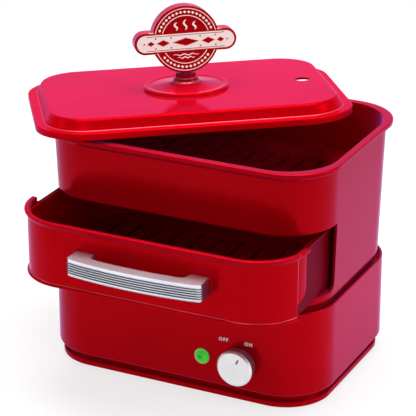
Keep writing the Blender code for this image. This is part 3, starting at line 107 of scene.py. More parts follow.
def ramp(tree, factor, *stops):
    """A colour ramp through (place, colour) stops."""
    made = node(tree, "ShaderNodeValToRGB", Fac=factor)
    elements = made.color_ramp.elements
    while len(elements) < len(stops):
        elements.new(0.5)
    for element, (place, colour) in zip(elements, stops):
        element.position = place
        element.color = (*colour, 1.0)
    return made.outputs["Color"]


world = bpy.data.worlds.new("studio")
bpy.context.scene.world = world
world.use_nodes = True
sky = world.node_tree
sky.nodes.clear()
direction = node(sky, "ShaderNodeTexCoord").outputs["Generated"]
height = node(sky, "ShaderNodeSeparateXYZ", Vector=direction).outputs["Z"]
wall_stops = ((0.0, (0.90, 0.89, 0.92)), (0.26, (0.80, 0.79, 0.83)), (0.42, (0.22, 0.21, 0.24)))
wall_tone = ramp(sky, height, *wall_stops, (1.0, (0.20, 0.19, 0.22)))
wall = node(sky, "ShaderNodeBackground", Color=wall_tone, Strength=1.0)
node(sky, "ShaderNodeOutputWorld", Surface=wall)
LAMP_AIM = Vector((0.0, 0.0, 0.2))
TABLE_HALF = 30.0


def soft_box(name, place, width, height, power):
    lamp = bpy.data.lights.new(name, "AREA")
    lamp.shape = "RECTANGLE"
    lamp.size, lamp.size_y, lamp.energy = width, height, power
    made = linked(name, lamp)
    made.location = place
    made.rotation_euler = (LAMP_AIM - Vector(place)).to_track_quat("-Z", "Y").to_euler()


soft_box("overhead_box", (-0.10, 0.25, 1.75), 1.5, 1.1, 37.0)
soft_box("right_box", (1.6, 0.25, 0.80), 0.7, 1.0, 7.5)
soft_box("left_box", (-1.5, -0.9, 0.85), 0.5, 0.9, 2.0)
soft_box("front_box", (-0.1, -1.5, 2.2), 1.0, 0.7, 6.0)

floor_mesh = bpy.data.meshes.new("table_top")
corners = [(x * TABLE_HALF, y * TABLE_HALF, 0.0) for x, y in ((-1, -1), (1, -1), (1, 1), (-1, 1))]
floor_mesh.from_pydata(corners, [], [(0, 1, 2, 3)])
table_top = linked("table_top", floor_mesh)
paper = bpy.data.materials.new("white_paper")
paper.use_nodes = True
tree = paper.node_tree
tree.nodes.clear()
path = node(tree, "ShaderNodeLightPath")
seen = maths(tree, "MAXIMUM", path.outputs["Is Camera Ray"], path.outputs["Is Glossy Ray"])
seen = maths(tree, "MAXIMUM", seen, path.outputs["Is Transmission Ray"])
grey = node(tree, "ShaderNodeBsdfDiffuse", Color=(0.42, 0.42, 0.43, 1.0))
white = node(tree, "ShaderNodeBsdfDiffuse", Color=(0.34, 0.34, 0.34, 1.0))
glow = node(tree, "ShaderNodeEmission", Color=(1.0, 1.0, 1.0, 1.0), Strength=0.71)
bright = node(tree, "ShaderNodeAddShader", i0=white, i1=glow)
mixed = node(tree, "ShaderNodeMixShader", Fac=seen, i1=grey, i2=bright)
node(tree, "ShaderNodeOutputMaterial", Surface=mixed)
floor_mesh.materials.append(paper)
table_top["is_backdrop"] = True


# Bottom cover
# A red moulded dish closes the casing from below and shows as a plinth under its edge. It stands on
# the table, is held by four screws, and has air slots under the switch and the heater.
LENGTH = 0.334
DEPTH = 0.241
CORNER = 0.0578
FRONT = -DEPTH / 2


def arc(x, y, radius, start, end, steps):
    turns = (math.radians(start + (end - start) * i / steps) for i in range(steps + 1))
    return [(x + radius * math.cos(a), y + radius * math.sin(a)) for a in turns]


def outline(half_x, half_y, corner, steps=24, guard=0.002):
    """Rounded rectangle. A guard point on each flat keeps the corner's shading off it."""
    points = []
    for sx, sy, start in ((1, 1, 0), (-1, 1, 90), (-1, -1, 180), (1, -1, 270)):
        turn = arc(sx * (half_x - corner), sy * (half_y - corner), corner, start, start + 90, steps)
        first, last = Vector(turn[0]), Vector(turn[-1])
        into = Vector((math.sin(math.radians(start)), -math.cos(math.radians(start))))
        out = Vector((-math.cos(math.radians(start)), -math.sin(math.radians(start))))
        points += [tuple(first + into * guard), *turn, tuple(last + out * guard)]
    return points


def body_outline(inset):
    return outline(LENGTH / 2 - inset, DEPTH / 2 - inset, CORNER - inset)


def level(points, z):
    return [(x, y, z) for x, y in points]


def placed(place, points, z):
    return [place @ Vector((x, y, z)) for x, y in points]


def made_mesh(name, bm):
    mesh = bpy.data.meshes.new(name)
    bm.to_mesh(mesh)
    bm.free()
    return linked(name, mesh)


def add_skin(bm, rings, joined=False):
    rows = [[bm.verts.new(p) for p in ring] for ring in rings]
    if joined:
        rows.append(rows[0])
    else:
        bm.faces.new(rows[0])
        bm.faces.new(rows[-1])
    for low, high in zip(rows, rows[1:]):
        for i in range(len(low)):
            j = (i + 1) % len(low)
            bm.faces.new((low[i], low[j], high[j], high[i]))


def skin(name, rings, joined=False):
    """Closed body through rings with one point count: capped, or joined into a hoop."""
    bm = bmesh.new()
    add_skin(bm, rings, joined)
    bmesh.ops.remove_doubles(bm, verts=bm.verts, dist=1e-7)
    bmesh.ops.recalc_face_normals(bm, faces=bm.faces)
    return made_mesh(name, bm)


def walls(name, outline_of, profile, joined=False):
    """Body from (inset, height) points, whose outline is given for each inset."""
    return skin(name, [level(outline_of(inset), z) for inset, z in profile], joined)


def prisms(name, outlines, low, high, place=Matrix.Identity(4)):
    """Straight blocks on several outlines, in one mesh."""
    bm = bmesh.new()
    for points in outlines:
        add_skin(bm, [placed(place, points, z) for z in (low, high)])
    bmesh.ops.recalc_face_normals(bm, faces=bm.faces)
    return made_mesh(name, bm)


def carve(piece, tool, operation="DIFFERENCE"):
    modifier = piece.modifiers.new(operation.lower(), "BOOLEAN")
    modifier.operation, modifier.solver, modifier.object = operation, "EXACT", tool
    tool.hide_render = True


def mark_edges(mesh, narrow=0.0012):
    """Stores how tightly each small round bends, in 1/mm: above zero on edges, below in grooves."""
    bm = bmesh.new()
    bm.from_mesh(mesh)
    bend = bm.verts.layers.float.new("bend")
    width = {f: f.calc_area() / max(e.calc_length() for e in f.edges) for f in bm.faces}
    for vert in bm.verts:
        beside = [width[f] for f in vert.link_faces]
        if beside and max(beside) < narrow:
            angles = [e.calc_face_angle_signed(0.0) for e in vert.link_edges]
            strongest = max(angles, key=abs, default=0.0)
            vert[bend] = -0.001 * strongest * len(beside) / max(sum(beside), 1e-6)
    bm.to_mesh(mesh)
    bm.free()


def as_built(piece):
    """A mesh of what an object's modifiers or its letters make."""
    bpy.context.view_layer.update()
    return bpy.data.meshes.new_from_object(piece.evaluated_get(bpy.context.evaluated_depsgraph_get()))


def settle(piece, crease=36.0):
    """Turns the modifiers into plain mesh, drops the tools and shades the result."""
    tools = [m.object for m in piece.modifiers if m.type == "BOOLEAN"]
    for last in (False, True):
        if last:
            bm = bmesh.new()
            bm.from_mesh(piece.data)
            bmesh.ops.remove_doubles(bm, verts=bm.verts, dist=2e-6)
            bmesh.ops.dissolve_degenerate(bm, edges=bm.edges, dist=1e-6)
            bm.to_mesh(piece.data)
            bm.free()
            piece.data.shade_smooth()
            piece.data.set_sharp_from_angle(angle=math.radians(crease))
            even = piece.modifiers.new("even", "WEIGHTED_NORMAL")
            even.keep_sharp = True
        old = piece.data
        piece.data = as_built(piece)
        piece.data.name = piece.name
        piece.modifiers.clear()
        bpy.data.meshes.remove(old)
    for tool in tools:
        bpy.data.objects.remove(tool)
    mark_edges(piece.data)
    return piece


def dress(piece, body, material, slot, *nodes):
    """Gives a finished piece its material, its body and the CAD nodes that it stands for."""
    piece.data.materials.clear()
    piece.data.materials.append(material)
    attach(piece, body)
    if nodes:
        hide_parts(*nodes)


def principled(name, **inputs):
    """A new material with its tree and its shader, whose sockets take the given values."""
    material = bpy.data.materials.new(name)
    material.use_nodes = True
    tree = material.node_tree
    shader = tree.nodes["Principled BSDF"]
    for key, value in inputs.items():
        shader.inputs[key.replace("_", " ")].default_value = value
    return material, tree, shader


def feed(shader, **inputs):
    """Links nodes' outputs to a shader's sockets."""
    for key, value in inputs.items():
        shader.id_data.links.new(value, shader.inputs[key.replace("_", " ")])


def own_place(tree):
    return node(tree, "ShaderNodeTexCoord").outputs["Object"]


def texture(tree, scale, detail=2.0, roughness=0.5, stretch=(1.0, 1.0, 1.0), turn=(0.0, 0.0, 0.0)):
    """Noise on the object's own coordinates; scale is in features per metre."""
    mapped = node(tree, "ShaderNodeMapping", Vector=own_place(tree), Scale=stretch, Rotation=turn).outputs[0]
    noise = node(tree, "ShaderNodeTexNoise", Vector=mapped, Scale=scale, Detail=detail, Roughness=roughness)
    return noise.outputs["Fac"]


def bump(tree, height, strength, distance):
    return node(tree, "ShaderNodeBump", Height=height, Strength=strength, Distance=distance).outputs[0]


def scaled(tree, value, low, high, first=0.0, last=1.0):
    """Maps a value's way from low to high onto the way from first to last."""
    return node(tree, "ShaderNodeMapRange", Value=value, i1=low, i2=high, i3=first, i4=last).outputs[0]


def mix(tree, share, first, second):
    return node(tree, "ShaderNodeMix", {"data_type": "RGBA"}, i0=share, i6=first, i7=second).outputs[2]


def lay_over(shader, share, colour):
    """Mixes a colour over the shader's own, by a share from 0 to 1."""
    own = shader.inputs["Base Color"].links[0].from_socket
    feed(shader, Base_Color=mix(shader.id_data, share, own, (*colour, 1.0)))


def bend_share(tree, low, high):
    """How far a small round's bend lies from one value to another, from 0 to 1."""
    bend = node(tree, "ShaderNodeAttribute", {"attribute_name": "bend"}).outputs["Fac"]
    return scaled(tree, bend, low, high)


# Pale pink painted onto small convex edges: a painted highlight.
EDGE_HIGHLIGHT_TONE = (1.0, 0.38, 0.50)
DUST_TONE = (0.62, 0.05, 0.07, 1.0)


def red_moulding(name, tone=1.0, gloss=0.16, bloom=0.17, fringe=0.30, skin_shine=0.02, edge=0.80):
    """Glossy red polypropylene: faint flow marks, orange peel, dust, hairlines and painted highlights on
    small edges.
    """
    material, tree, shader = principled(
        name, Metallic=0.34, Specular_Tint=(1.0, fringe, 1.0, 1.0), Specular_IOR_Level=skin_shine,
        Sheen_Weight=bloom, Sheen_Roughness=0.31, Sheen_Tint=(0.50, 0.18, 1.0, 1.0),
    )
    flow = texture(tree, 9.0, 3.0, stretch=(1.0, 1.0, 0.35))
    deep, full = (0.50 * tone, 0.0003, 0.0030), (0.55 * tone, 0.0006, 0.0045)
    dust = ramp(tree, texture(tree, 1500.0, 1.0), (0.76, (0.0, 0.0, 0.0)), (0.84, (0.6, 0.6, 0.6)))
    hairlines = texture(tree, 60.0, 4.0, 0.7, stretch=(1.0, 1.0, 14.0), turn=(0.5, 0.35, 0.2))
    feed(
        shader,
        Base_Color=mix(tree, dust, ramp(tree, flow, (0.30, deep), (0.72, full)), DUST_TONE),
        Roughness=scaled(tree, hairlines, 0.35, 0.75, gloss * 0.85, gloss * 1.35),
        Normal=bump(tree, texture(tree, 650.0, 2.0), 0.10, 0.00012),
    )
    # Small convex rounds are mixed towards pale pink: a painted highlight on the edges.
    lay_over(shader, maths(tree, "MULTIPLY", bend_share(tree, 0.25, 0.9), edge), EDGE_HIGHLIGHT_TONE)
    return material


def circle(x, y, radius, steps=32):
    return arc(x, y, radius, 0, 360 - 360 / steps, steps - 1)


def drill(piece, name, places, radius, low, high, place=Matrix.Identity(4), operation="DIFFERENCE"):
    """Round holes of one size, or round bosses where the operation joins them."""
    carve(piece, prisms(name, [circle(x, y, radius) for x, y in places], low, high, place), operation)


def growing_tree(name, **sockets):
    """A new Geometry Nodes tree and its inputs: those named here under their kinds, and a material."""
    tree = bpy.data.node_groups.new(name, "GeometryNodeTree")
    for kind, labels in {**sockets, "Material": ("Material",)}.items():
        for label in labels:
            tree.interface.new_socket(label, in_out="INPUT", socket_type=f"NodeSocket{kind}")
    tree.interface.new_socket("Geometry", in_out="OUTPUT", socket_type="NodeSocketGeometry")
    return tree, tree.nodes.new("NodeGroupInput").outputs


def ended(tree, copies, material, **offset):
    """The tree with its end: the copies leave it as plain mesh, moved by an X, Y or Z and painted."""
    real = node(tree, "GeometryNodeRealizeInstances", Geometry=copies)
    shift = node(tree, "ShaderNodeCombineXYZ", **offset)
    moved = node(tree, "GeometryNodeTransform", Geometry=real, Translation=shift)
    painted = node(tree, "GeometryNodeSetMaterial", Geometry=moved, Material=material)
    tree.links.new(painted.outputs[0], tree.nodes.new("NodeGroupOutput").inputs[0])
    return tree


def slot_tree():
    """Geometry Nodes: round-ended slots of one size on a grid, as closed cutter blocks."""
    sizes = ("Slot Width", "Slot Length", "Pitch X", "Pitch Y", "Depth", "Height", "Middle Y")
    tree, given = growing_tree("slot_grid", Geometry=("Geometry",), Float=sizes, Int=("Count X", "Count Y"))
    width, length = given["Slot Width"], given["Slot Length"]
    shape = node(tree, "GeometryNodeCurvePrimitiveQuadrilateral", Width=width, Height=length)
    end_radius = maths(tree, "MULTIPLY", width, 0.499)
    rounded = node(tree, "GeometryNodeFilletCurve", {"mode": "POLY"}, Curve=shape, Count=5, Radius=end_radius)
    face = node(tree, "GeometryNodeFillCurve", {"mode": "NGONS"}, Curve=rounded)
    up = node(tree, "ShaderNodeCombineXYZ", Z=given["Depth"])
    raised = node(tree, "GeometryNodeExtrudeMesh", Mesh=face, Offset=up, Offset_Scale=1.0, Individual=False)
    under = node(tree, "GeometryNodeFlipFaces", Mesh=face)
    closed = tree.nodes.new("GeometryNodeJoinGeometry")
    for shell in (under, raised):
        tree.links.new(shell.outputs[0], closed.inputs[0])
    welded = node(tree, "GeometryNodeMergeByDistance", Geometry=closed, Distance=1e-6)
    spans = {}
    for axis in "XY":
        steps = maths(tree, "SUBTRACT", given[f"Count {axis}"], 1.0)
        spans[f"Size_{axis}"] = maths(tree, "MULTIPLY", steps, given[f"Pitch {axis}"])
        spans[f"Vertices_{axis}"] = given[f"Count {axis}"]
    grid = node(tree, "GeometryNodeMeshGrid", **spans)
    copies = node(tree, "GeometryNodeInstanceOnPoints", Points=grid, Instance=welded)
    return ended(tree, copies, given["Material"], Y=given["Middle Y"], Z=given["Height"])


slot_grid = slot_tree()


def grown(name, tree, points=(), **values):
    """A plain mesh made by a Geometry Nodes tree from its named inputs and any points it starts from."""
    start = bpy.data.meshes.new(name)
    start.from_pydata(points, [], [])
    piece = linked(name, start)
    modifier = piece.modifiers.new("grow", "NODES")
    modifier.node_group = tree
    wanted = {key.replace("_", " "): value for key, value in values.items()}
    for item in tree.interface.items_tree:
        if item.in_out == "INPUT" and item.name in wanted:
            modifier[item.identifier] = wanted[item.name]
    made = as_built(piece)
    piece.modifiers.clear()
    piece.data = made
    bpy.data.meshes.remove(start)
    return piece


def slots(name, material, width, length, pitch, count, depth, height, middle_y=0.0):
    """Cutter for a grid of slots; the pitch and the count are pairs."""
    return grown(
        name, slot_grid, Slot_Width=width, Slot_Length=length, Pitch_X=pitch[0], Pitch_Y=pitch[1],
        Depth=depth, Height=height, Middle_Y=middle_y, Count_X=count[0], Count_Y=count[1], Material=material,
    )


PLINTH_INSET = 0.0044
PLINTH_HEIGHT = 0.006
GROOVE_INSET = 0.011
COVER_WALL = 0.0025
UPSTAND_TOP = 0.0249
EDGE_ROUND = 0.0009
OVERRUN = 0.002
BOSSES = [(sx * (LENGTH / 2 - 0.021), sy * 0.055) for sx in (1, -1) for sy in (1, -1)]
FEET = [(sx * (LENGTH / 2 - 0.037), sy * (DEPTH / 2 - 0.040)) for sx in (1, -1) for sy in (1, -1)]
cover_red = red_moulding("cover_red")
upstand_in = GROOVE_INSET + COVER_WALL
cover_profile = arc(PLINTH_INSET + EDGE_ROUND, EDGE_ROUND, EDGE_ROUND, 270, 180, 4)
cover_profile += arc(PLINTH_INSET + EDGE_ROUND, PLINTH_HEIGHT - EDGE_ROUND, EDGE_ROUND, 180, 90, 4)
cover_profile += [(GROOVE_INSET, PLINTH_HEIGHT), (GROOVE_INSET, UPSTAND_TOP), (upstand_in, UPSTAND_TOP)]
cover_profile += [(upstand_in, COVER_WALL * 2), (upstand_in + COVER_WALL, COVER_WALL)]
bottom_cover = walls("bottom_cover_piece", body_outline, cover_profile)
drill(bottom_cover, "cover_bosses", BOSSES, 0.0065, 0.001, PLINTH_HEIGHT, operation="UNION")
drill(bottom_cover, "head_holes", BOSSES, 0.0041, -OVERRUN, 0.0033)
drill(bottom_cover, "shank_holes", BOSSES, 0.0022, -OVERRUN, PLINTH_HEIGHT + OVERRUN)
drill(bottom_cover, "foot_seats", FEET, 0.0103, -OVERRUN, 0.0015)
carve(bottom_cover, slots("air_slots", cover_red, 0.003, 0.060, (0.009, 0.100), (5, 2), 0.0065, -OVERRUN))
settle(bottom_cover)
dress(bottom_cover, "base", cover_red, "red_shell", "bottom_cover")


# Rubber feet
# Four soft black pads with a rounded edge are pressed into the cover's round seats.
def copies_tree():
    """Geometry Nodes: a copy of one piece at each of the given points."""
    tree, given = growing_tree("placed_copies", Geometry=("Places",), Object=("Piece",))
    piece = node(tree, "GeometryNodeObjectInfo", Object=given["Piece"]).outputs["Geometry"]
    copies = node(tree, "GeometryNodeInstanceOnPoints", Points=given["Places"], Instance=piece)
    return ended(tree, copies, given["Material"])


placed_copies = copies_tree()


def traced(x, z, *steps):
    """Profile points, given in millimetres from one point."""
    return [(x + across / 1000, z + up / 1000) for across, up in steps]


def turned(name, profile, place=Matrix.Identity(4), steps=96, joined=False):
    """Body of revolution about local Z through (radius, height) points."""
    turns = [math.tau * i / steps for i in range(steps)]
    rings = [[place @ Vector((r * math.cos(a), r * math.sin(a), z)) for a in turns] for r, z in profile]
    return skin(name, rings, joined)


def repeated(name, piece, places, material):
    """One mesh with the piece at every place; the single piece is dropped."""
    made = grown(name, placed_copies, points=places, Piece=piece, Material=material)
    bpy.data.objects.remove(piece)
    return made


def speckled(name, scale, detail, dark, light, relief=(), stops=(0.3, 0.7), **inputs):
    """A dull surface that wanders between two tones; relief gives its specks' strength and depth."""
    material, tree, shader = principled(name, **inputs)
    specks = texture(tree, scale, detail)
    feed(shader, Base_Color=ramp(tree, specks, (stops[0], dark), (stops[1], light)))
    if relief:
        feed(shader, Normal=bump(tree, specks, *relief))
    return material


rubber = speckled(
    "foot_rubber", 2600.0, 3.0, (0.018, 0.018, 0.018), (0.040, 0.039, 0.038), (0.3, 0.0001), Roughness=0.75
)
foot_profile = traced(0.0, 0.0, (0.4, 0.3), (5.0, 0.2), (6.2, 0.0), (9.6, 0.0), (10.0, 0.4))
foot_profile += traced(0.0, 0.0, (10.0, 1.0), (9.8, 1.2), (0.4, 1.2))
foot = settle(turned("one_foot", foot_profile, steps=40))
feet = repeated("rubber_feet_piece", foot, [(x, y, 0.0) for x, y in FEET], rubber)
dress(feet, "base", rubber, "rubber", *(f"rubber_foot_{i}" for i in range(1, 5)))


# Cover screws
# Zinc-plated screws with a cross recess go up through the cover into the casing's four bosses.
def plated(name, colour, rough=0.3):
    """Plated or turned metal with fine turning marks and cloudy spots."""
    material, tree, shader = principled(name, Metallic=1.0)
    cloud = texture(tree, 260.0, 4.0, 0.6)
    marks = texture(tree, 2400.0, 2.0, stretch=(1.0, 1.0, 0.2))
    feed(
        shader,
        Base_Color=ramp(tree, cloud, (0.30, tuple(c * 0.72 for c in colour)), (0.62, colour)),
        Roughness=scaled(tree, cloud, 0.3, 0.7, rough * 1.4, rough * 0.8),
        Normal=bump(tree, marks, 0.12, 0.00005),
    )
    return material


def screw(name, head, height, shank, length, place=Matrix.Identity(4)):
    """Pan-head screw with a cross recess; local +Z runs from the head's face to the tip."""
    profile = [(0.0002, 0.0), (head * 0.55, 0.0), (head * 0.85, height * 0.22), (head * 0.98, height * 0.60)]
    profile += [(head, height * 0.85), (head * 0.97, height), (shank, height)]
    pitch = shank * 0.9
    thread = ((0.80, 0.0), (1.0, 0.40), (1.0, 0.55), (0.80, 0.9))
    for i in range(int((length - height - shank * 1.6) / pitch)):
        start = height + (i + 0.3) * pitch
        profile += [(shank * r, start + pitch * z) for r, z in thread]
    profile += [(shank * 0.75, length - shank * 1.4), (shank * 0.15, length)]
    made = turned(name, profile, place, 32)
    arm, width = head * 0.52, head * 0.17
    cross = [[(-arm, -width / 2), (arm, -width / 2), (arm, width / 2), (-arm, width / 2)]]
    cross += [[(y, -x) for x, y in cross[0]]]
    for i, bar in enumerate(cross):
        carve(made, prisms(f"{name}_recess_{i}", [bar], -0.001, height * 0.62, place))
    return settle(made, 40.0)


SMALL_SCREW = (0.0038, 0.0022, 0.0019)
SCREW_SEAT = 0.0008
SCREW_TIP = 0.0153
zinc = plated("zinc_plate", (0.62, 0.62, 0.60))
cover_screw = screw("one_cover_screw", *SMALL_SCREW, SCREW_TIP - SCREW_SEAT)
cover_screws = repeated("cover_screws_piece", cover_screw, [(x, y, SCREW_SEAT) for x, y in BOSSES], zinc)
dress(cover_screws, "base", zinc, "steel", *(f"cover_screw_{i}" for i in range(1, 5)))


# Base casing
# The red drum of the base: its lower edge curls in over the plinth, its upper edge ends in a thin
# rounded lip, and a shelf inside carries the housing and the water tray.
BASE_TOP = 0.1125
BASE_WALL = 0.0026
BASE_EDGE = 0.0149
BASE_CURL = 0.0028
SHELF_TOP = 0.104
SHELF_THICKNESS = 0.003
SHELF_WIDTH = 0.0264
SWITCH_X = 0.0808
LAMP_X = 0.0363
CONTROL_HEIGHT = 0.0462
GLAND = (0.095, 0.036)


def facing(x, z, y=FRONT):
    """Turns local +Z towards the front, with its start on the given plane."""
    return Matrix.Translation((x, y, z)) @ Matrix.Rotation(math.radians(90), 4, "X")


lip_round = BASE_WALL / 2
shelf_low, shelf_end = SHELF_TOP - SHELF_THICKNESS, BASE_WALL + SHELF_WIDTH
casing_profile = arc(BASE_CURL, BASE_EDGE + BASE_CURL, BASE_CURL, 270, 180, 6)
casing_profile += arc(lip_round, BASE_TOP - lip_round, lip_round, 180, 0, 8)
casing_profile += traced(BASE_WALL, SHELF_TOP, (0.0, 0.6), (0.6, 0.0))
casing_profile += [(shelf_end, SHELF_TOP), (shelf_end, shelf_low), (BASE_WALL, shelf_low)]
casing_profile += [(BASE_WALL, BASE_EDGE + BASE_CURL), (BASE_CURL, BASE_EDGE + BASE_WALL / 2)]
base_casing = walls("base_casing_piece", body_outline, casing_profile, joined=True)
drill(base_casing, "screw_bosses", BOSSES, 0.005, 0.0063, 0.1025, operation="UNION")
drill(base_casing, "pilot_holes", BOSSES, 0.0023, 0.0043, 0.0183)
control_holes = [circle(SWITCH_X, CONTROL_HEIGHT, 0.0048), circle(LAMP_X, CONTROL_HEIGHT, 0.0069)]
through = BASE_WALL + OVERRUN
carve(base_casing, prisms("control_holes", control_holes, -through, OVERRUN, facing(0, 0)))
drill(base_casing, "gland_hole", [GLAND], 0.0073, -OVERRUN, through, facing(0, 0, -FRONT))
settle(base_casing)
casing_red = red_moulding("casing_red", 0.98, 0.16, 0.66, 0.58, 0.030)
dress(base_casing, "base", casing_red, "red_shell", "base_casing")


# Printed words
# OFF and ON are pad-printed in white above the knob.
LETTER_HEIGHT = 0.0038
LETTER_SHARE = 0.70
LETTER_GROWTH = 0.00026
INK_THICKNESS = 0.00004
WORDS = (("OFF", 0.0615), ("ON", 0.0910))
WORD_HEIGHT = 0.0710
ink = speckled(
    "white_ink", 900.0, 3.0, (0.86, 0.84, 0.84), (0.97, 0.96, 0.96), stops=(0.25, 0.45), Roughness=0.45
)
for word, x in WORDS:
    text = bpy.data.curves.new(f"word_{word.lower()}", "FONT")
    text.body, text.align_x, text.align_y = word, "CENTER", "CENTER"
    text.size, text.extrude = LETTER_HEIGHT / LETTER_SHARE, INK_THICKNESS
    text.space_character, text.offset = 1.30, LETTER_GROWTH
    drawn = linked(f"drawn_{word.lower()}", text)
    mesh = as_built(drawn)
    bpy.data.objects.remove(drawn)
    bm = bmesh.new()
    bm.from_mesh(mesh)
    bmesh.ops.remove_doubles(bm, verts=bm.verts, dist=1e-6)
    bm.to_mesh(mesh)
    bm.free()
    mesh.transform(facing(x, WORD_HEIGHT, FRONT - INK_THICKNESS / 2))
    mesh.materials.clear()
    dress(linked(f"print_{word.lower()}", mesh), "base", ink, "white_plastic")


# Knob
# Turned-looking knob moulded in silver-grey plastic: its drafted side painted darker and purplish as
# shade and reflection, bright chamfer, dished face and a sunk pointer filled dark as painted shade.
# Its shaft goes through the switch's bushing.
KNOB_RADIUS = 0.0207
KNOB_BACK = 0.0009
KNOB_FACE = 0.0157
KNOB_SIDE_SHADE = (0.40, 0.27, 0.42)
POINTER_TURN = -22.8
GROOVE_SHADE_TONE = (0.10, 0.11, 0.11)


def silver_plastic(name, colour, groove_shade=1.0):
    """Silver-grey paint on plastic: fine metallic grain, a thin clear coat and painted shade in the grooves.
    """
    material, tree, shader = principled(name, Coat_Weight=0.16, Coat_Roughness=0.12, Metallic=0.86)
    grain = texture(tree, 3500.0, 2.0)
    mixed = maths(tree, "MULTIPLY", grain, texture(tree, 25.0, 3.0))
    feed(
        shader,
        Base_Color=ramp(tree, mixed, (0.15, tuple(c * 0.88 for c in colour)), (0.38, colour)),
        Roughness=scaled(tree, grain, 0.3, 0.7, 0.26, 0.38),
        Normal=bump(tree, grain, 0.08, 0.00004),
    )
    # Grooves and concave creases are darkened: painted shade.
    lay_over(shader, maths(tree, "MULTIPLY", bend_share(tree, 0.0, -0.5), groove_shade), GROOVE_SHADE_TONE)
    return material, tree, shader


def own_axis(tree, axis):
    return node(tree, "ShaderNodeSeparateXYZ", Vector=own_place(tree)).outputs[axis]


def pointer_outline(end, reach):
    """Round-ended bar from the knob's middle outwards."""
    return arc(0, 0.0100 + reach, end, 0, 180, 8) + arc(0, 0.0100 - reach, end, 180, 360, 8)


knob_profile = traced(0.0, KNOB_FACE, (3.0, -3.5))
knob_profile += traced(0.0, KNOB_BACK, (3.0, 3.8), (10.0, 3.8), (10.0, 0.0))
knob_profile += traced(KNOB_RADIUS, KNOB_BACK, (-1.6, 0.0), (-1.0, 0.6))
knob_profile += traced(KNOB_RADIUS, KNOB_FACE, (0.0, -2.6), (-0.1, -2.2), (-1.9, -0.2), (-2.3, 0.0))
knob_profile += traced(KNOB_RADIUS, KNOB_FACE, (-3.0, -0.1), (-4.0, -0.6))
knob_profile += traced(0.0, KNOB_FACE, (10.0, -0.8), (0.4, -0.9))
knob = turned("knob_piece", knob_profile, facing(SWITCH_X, CONTROL_HEIGHT))
pointer = facing(SWITCH_X, CONTROL_HEIGHT) @ Matrix.Rotation(math.radians(POINTER_TURN), 4, "Z")
pointer_bar = pointer_outline(0.0010, 0.0022)
pointer_slot = prisms("pointer_slot", [pointer_bar], KNOB_FACE - 0.0016, KNOB_FACE + OVERRUN, pointer)
carve(knob, pointer_slot)
settle(knob)
knob_silver, tree, shader = silver_plastic("knob_silver", (0.95, 0.96, 0.98), 0.0)
# Behind the chamfer the side is painted a darker purple-grey: painted shade and a painted reflection of the
# red body.
chamfer_back = FRONT - KNOB_FACE + 0.0024
lay_over(shader, scaled(tree, own_axis(tree, "Y"), chamfer_back, chamfer_back + 0.0006), KNOB_SIDE_SHADE)
dress(knob, "selector", knob_silver, "silver_plastic", "knob")

# The sunk pointer's bottom gets a dark fill: painted shade in the slot.
mark_ink = speckled("mark_ink", 2200.0, 2.0, (0.10, 0.10, 0.11), (0.17, 0.17, 0.18), Roughness=0.5)
pointer_shade_outline = pointer_outline(0.0008, 0.0021)
knob_mark = prisms("knob_mark", [pointer_shade_outline], KNOB_FACE - 0.0015, KNOB_FACE - 0.0010, pointer)
dress(knob_mark, "selector", mark_ink, "black_plastic")


# Pilot lamp
# A pale nylon bezel snaps into the wall and holds a green lens, moulded with small facets inside so
# that the neon bulb behind it lights all of it.
lamp_place = facing(LAMP_X, CONTROL_HEIGHT)
bezel_profile = traced(0.0, 0.0, (6.6, -12.0), (6.6, 0.3), (9.0, 0.3), (9.2, 0.5), (9.2, 1.2), (9.0, 1.8))
bezel_profile += traced(0.0, 0.0, (8.5, 2.1), (7.8, 2.1), (7.5, 1.8), (7.5, 1.0), (5.7, 1.0), (5.7, -12.0))
bezel = settle(turned("lamp_bezel_piece", bezel_profile, lamp_place, 64, joined=True))
pale = speckled("pale_nylon", 400.0, 3.0, (0.46, 0.78, 0.30), (0.62, 0.88, 0.44), Roughness=0.35)
dress(bezel, "base", pale, "white_plastic", "lamp_bezel")

lens_profile = traced(0.0, 0.0, (2.2, 3.7), (4.4, 1.3), (4.4, -6.0), (5.4, -6.0), (5.4, 1.3), (7.2, 1.3))
dome_turns = [math.radians(8 * i) for i in range(11)]
lens_profile += [(0.0072 * math.cos(a), 0.0022 + 0.0034 * math.sin(a)) for a in dome_turns]
lens = settle(turned("lamp_lens_piece", lens_profile, lamp_place, 64))
green, tree, shader = principled(
    "lit_green_lens", Roughness=0.12, Coat_Weight=0.10, Coat_Roughness=0.04, Emission_Strength=1.0
)
bulb_place = (-LAMP_X + 0.0012, 0.0, -CONTROL_HEIGHT - 0.0010)
centred = node(tree, "ShaderNodeMapping", Vector=own_place(tree), Location=bulb_place).outputs[0]
flat = node(tree, "ShaderNodeVectorMath", {"operation": "MULTIPLY"}, i0=centred, i1=(1.0, 0.0, 1.0))
reach = node(tree, "ShaderNodeVectorMath", {"operation": "LENGTH"}, i0=flat).outputs["Value"]
facets = node(tree, "ShaderNodeTexVoronoi", Vector=own_place(tree), Scale=700.0).outputs["Distance"]
near_bulb = scaled(tree, reach, 0.0, 0.0085, 1.0, 0.0)
lit = maths(tree, "SUBTRACT", near_bulb, maths(tree, "MULTIPLY", facets, 0.35))
edge_glow, middle_glow, bulb_glow = (0.012, 0.46, 0.002), (0.006, 0.26, 0.002), (0.002, 0.07, 0.006)
feed(
    shader,
    Emission_Color=ramp(tree, lit, (0.16, edge_glow), (0.50, middle_glow), (0.85, bulb_glow)),
    Base_Color=ramp(tree, lit, (0.0, (0.01, 0.14, 0.004)), (1.0, (0.01, 0.06, 0.01))),
    Normal=bump(tree, facets, 0.35, 0.0003),
)
dress(lens, "base", green, "green_lens", "lamp_lens")


